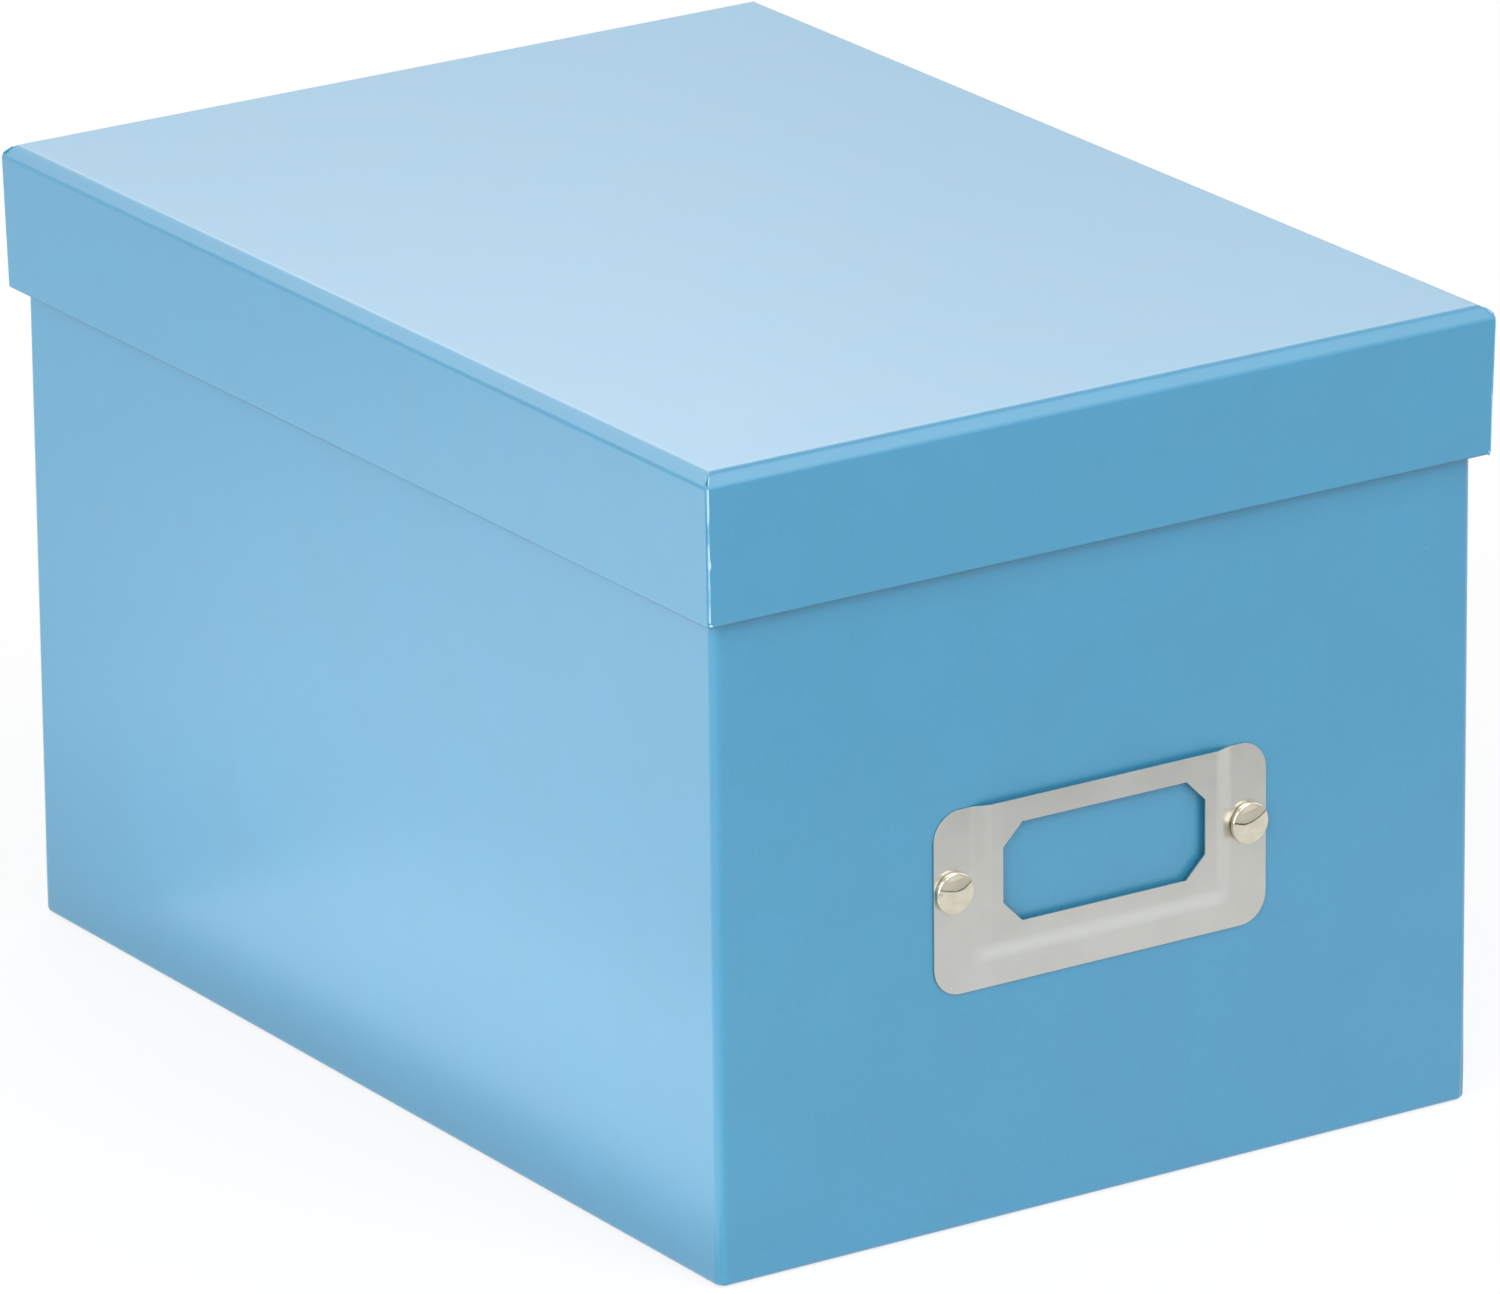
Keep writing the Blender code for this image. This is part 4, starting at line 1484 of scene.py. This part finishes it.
@dataclass(frozen=True)
class Lamp:
    """A soft, rectangular studio lamp."""

    name: str
    place: Colour
    aim: Colour
    width: float
    height: float
    power: float

    def build(self) -> None:
        """Adds the lamp, turned to its aim."""
        light = bpy.data.lights.new(self.name, "AREA")
        light.shape = "RECTANGLE"
        light.size = self.width
        light.size_y = self.height
        light.energy = self.power
        made = add_object(self.name, light)
        made.location = self.place
        made.rotation_mode = "QUATERNION"
        made.rotation_quaternion = (Vector(self.aim) - Vector(self.place)).to_track_quat("-Z", "Y")
        made.visible_camera = False


@dataclass(frozen=True)
class Card:
    """A card with one rounded corner, on the floor out of the picture, which only glossy finishes show."""

    name: str
    corner: Colour
    sides: tuple[float, float]
    rounding: float
    reach: float
    grey: float

    def build(self) -> None:
        """Lays the card down, with its two sides running from its rounded corner."""
        work = bmesh.new()
        bmesh.ops.create_grid(work, x_segments=1, y_segments=1, size=self.reach / 2)
        bmesh.ops.translate(work, verts=work.verts, vec=(self.reach / 2, self.reach / 2, 0))
        nearest = min(work.verts, key=lambda vertex: vertex.co.length)
        round_off(work, [nearest], "VERTICES", self.rounding, 8)
        first, second = (Vector((cos(side), sin(side), 0)) for side in self.sides)
        settle(work, Matrix((first, second, UP)).transposed(), self.corner)
        bmesh.ops.recalc_face_normals(work, faces=work.faces)
        if next(iter(work.faces)).normal.z < 0:
            bmesh.ops.reverse_faces(work, faces=work.faces)
        material = Shader(self.name).finish(Base_Color=(self.grey,) * 3, Roughness=1.0)
        made = add_mesh(self.name, work, material)
        made.visible_camera = False
        made.visible_shadow = False
        made.visible_diffuse = False
        made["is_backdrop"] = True


@dataclass
class Studio:
    """The camera, the pale floor, the white surroundings, the soft lamps and the cards."""

    lens: float = 313.708
    sensor: float = 36.0
    camera_place: Colour = (-1.22309, -1.87341, 0.84739)
    azimuth: float = radians(-33.1986)
    elevation: float = radians(19.1835)
    roll: float = radians(-0.5749)
    white: Colour = (1.0, 1.0, 1.0)
    floor_half: float = 3.0
    floor_albedo: float = 0.8
    floor_glow: float = 0.8
    floor_plain: float = 0.28
    ambient: float = 0.3
    lamps: tuple[Lamp, ...] = (
        Lamp("front_softbox", (0.35, -1.6, 1.15), TRAY_MIDDLE, 1.0, 1.0, 9.5),
        Lamp("high_front_softbox", (0.3, -1.15, 1.6), TRAY_MIDDLE, 1.0, 1.0, 4.4),
        Lamp("side_softbox", (-1.4, -0.7, 0.7), TRAY_MIDDLE, 1.6, 1.6, 21.4),
        Lamp("back_softbox", (0.36, 0.6, 0.6), LID_MIDDLE, 0.6, 0.25, 1.09),
        Lamp("far_back_softbox", (0.3, 0.85, 0.62), LID_MIDDLE, 0.5, 0.35, 0.25),
        Lamp("upper_right_softbox", (0.589, -0.547, 1.175), (0.0, -0.118, 0.148), 0.4, 0.4, 1.3),
        Lamp("upper_left_softbox", (-0.347, 0.514, 0.564), (-0.083, -0.118, 0.148), 0.3, 0.3, 0.41),
        Lamp("right_fill", (1.6, -0.5, 0.9), TRAY_MIDDLE, 1.2, 1.2, 3.0),
        Lamp("back_fill", (-0.2, 1.4, 1.5), TRAY_MIDDLE, 1.0, 1.0, 3.0),
        Lamp("low_panel", (-0.25, 0.07, 0.003), (-0.25, 0.07, 1.0), 0.22, 0.3, 0.086),
        Lamp("low_back_panel", (-0.3, 0.2, 0.003), (-0.3, 0.2, 1.0), 0.2, 0.2, 0.087),
        Lamp("low_near_panel", (-0.135, -0.03, 0.003), (-0.135, -0.03, 1.0), 0.08, 0.26, 0.05),
    )
    cards: tuple[Card, ...] = (
        Card("dark_card", (0.091, -0.282, 0.0006), (radians(-5), radians(-120)), 0.03, 1.5, 0.06),
        Card("grey_card", (0.102, -0.303, 0.0012), (radians(-5), radians(-120)), 0.03, 1.5, 0.68),
        Card("left_card", (0.0, -0.3, 0.0018), (radians(-90), radians(180)), 0.02, 0.8, 0.66),
    )

    def build(self) -> None:
        """Builds the studio."""
        self.camera()
        self.floor()
        self.surroundings()
        for item in self.lamps + self.cards:
            item.build()
        bpy.context.scene.view_settings.view_transform = "Standard"

    def camera(self) -> None:
        """The camera at the photograph's viewing angle."""
        data = bpy.data.cameras.new("camera")
        data.lens = self.lens
        data.sensor_width = self.sensor
        data.sensor_fit = "HORIZONTAL"
        data.clip_start = 0.05
        data.clip_end = 50.0
        made = add_object("camera", data)
        made.location = self.camera_place
        reach = cos(self.elevation)
        view = Vector((-sin(self.azimuth) * reach, cos(self.azimuth) * reach, -sin(self.elevation)))
        made.rotation_mode = "QUATERNION"
        made.rotation_quaternion = view.to_track_quat("-Z", "Y") @ Quaternion(UP, self.roll)
        bpy.context.scene.camera = made

    def floor(self) -> None:
        """A pale floor that glows to white for the camera and for reflections, and keeps its shadow."""
        work = bmesh.new()
        bmesh.ops.create_grid(work, x_segments=1, y_segments=1, size=self.floor_half)
        shader = Shader("pale_floor")
        pale = (self.floor_albedo,) * 3
        plain = shader.node("ShaderNodeBsdfDiffuse", None, {"Color": pale})
        dimmed = shader.node("ShaderNodeBsdfDiffuse", None, {"Color": tinted(pale, self.floor_plain - 1)})
        glow = shader.node("ShaderNodeEmission", None, {"Color": self.white, "Strength": self.floor_glow})
        bright = shader.node("ShaderNodeAddShader", None, {0: dimmed.outputs[0], 1: glow.outputs[0]})
        sockets = {0: shader.seen(), 1: plain.outputs[0], 2: bright.outputs[0]}
        material = shader.show(shader.node("ShaderNodeMixShader", None, sockets))
        add_mesh("floor", work, material)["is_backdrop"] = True

    def surroundings(self) -> None:
        """White surroundings for the camera and for reflections, and an even soft light for the rest."""
        world = bpy.data.worlds.new("studio")
        world.use_nodes = True
        bpy.context.scene.world = world
        nodes = Nodes(world.node_tree)
        even = nodes.node("ShaderNodeBackground", None, {"Color": self.white, "Strength": self.ambient})
        white = nodes.node("ShaderNodeBackground", None, {"Color": self.white, "Strength": 1.0})
        sockets = {0: nodes.seen(), 1: even.outputs[0], 2: white.outputs[0]}
        mixed = nodes.node("ShaderNodeMixShader", None, sockets)
        nodes.node("ShaderNodeOutputWorld", None, {"Surface": mixed.outputs[0]})


def main() -> None:
    """Builds the studio and the box, half by half."""
    logging.basicConfig(level=logging.INFO, format="%(name)s: %(message)s")
    Studio().build()
    finishes = Finishes()
    for part in (Tray(finishes), LabelHolder(finishes), Lid(finishes)):
        part.build()
        log.info("built the %s", type(part).__name__)
    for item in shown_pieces():
        log.info("%s: %d faces", item.name, len(item.data.polygons))


if __name__ == "__main__":
    main()
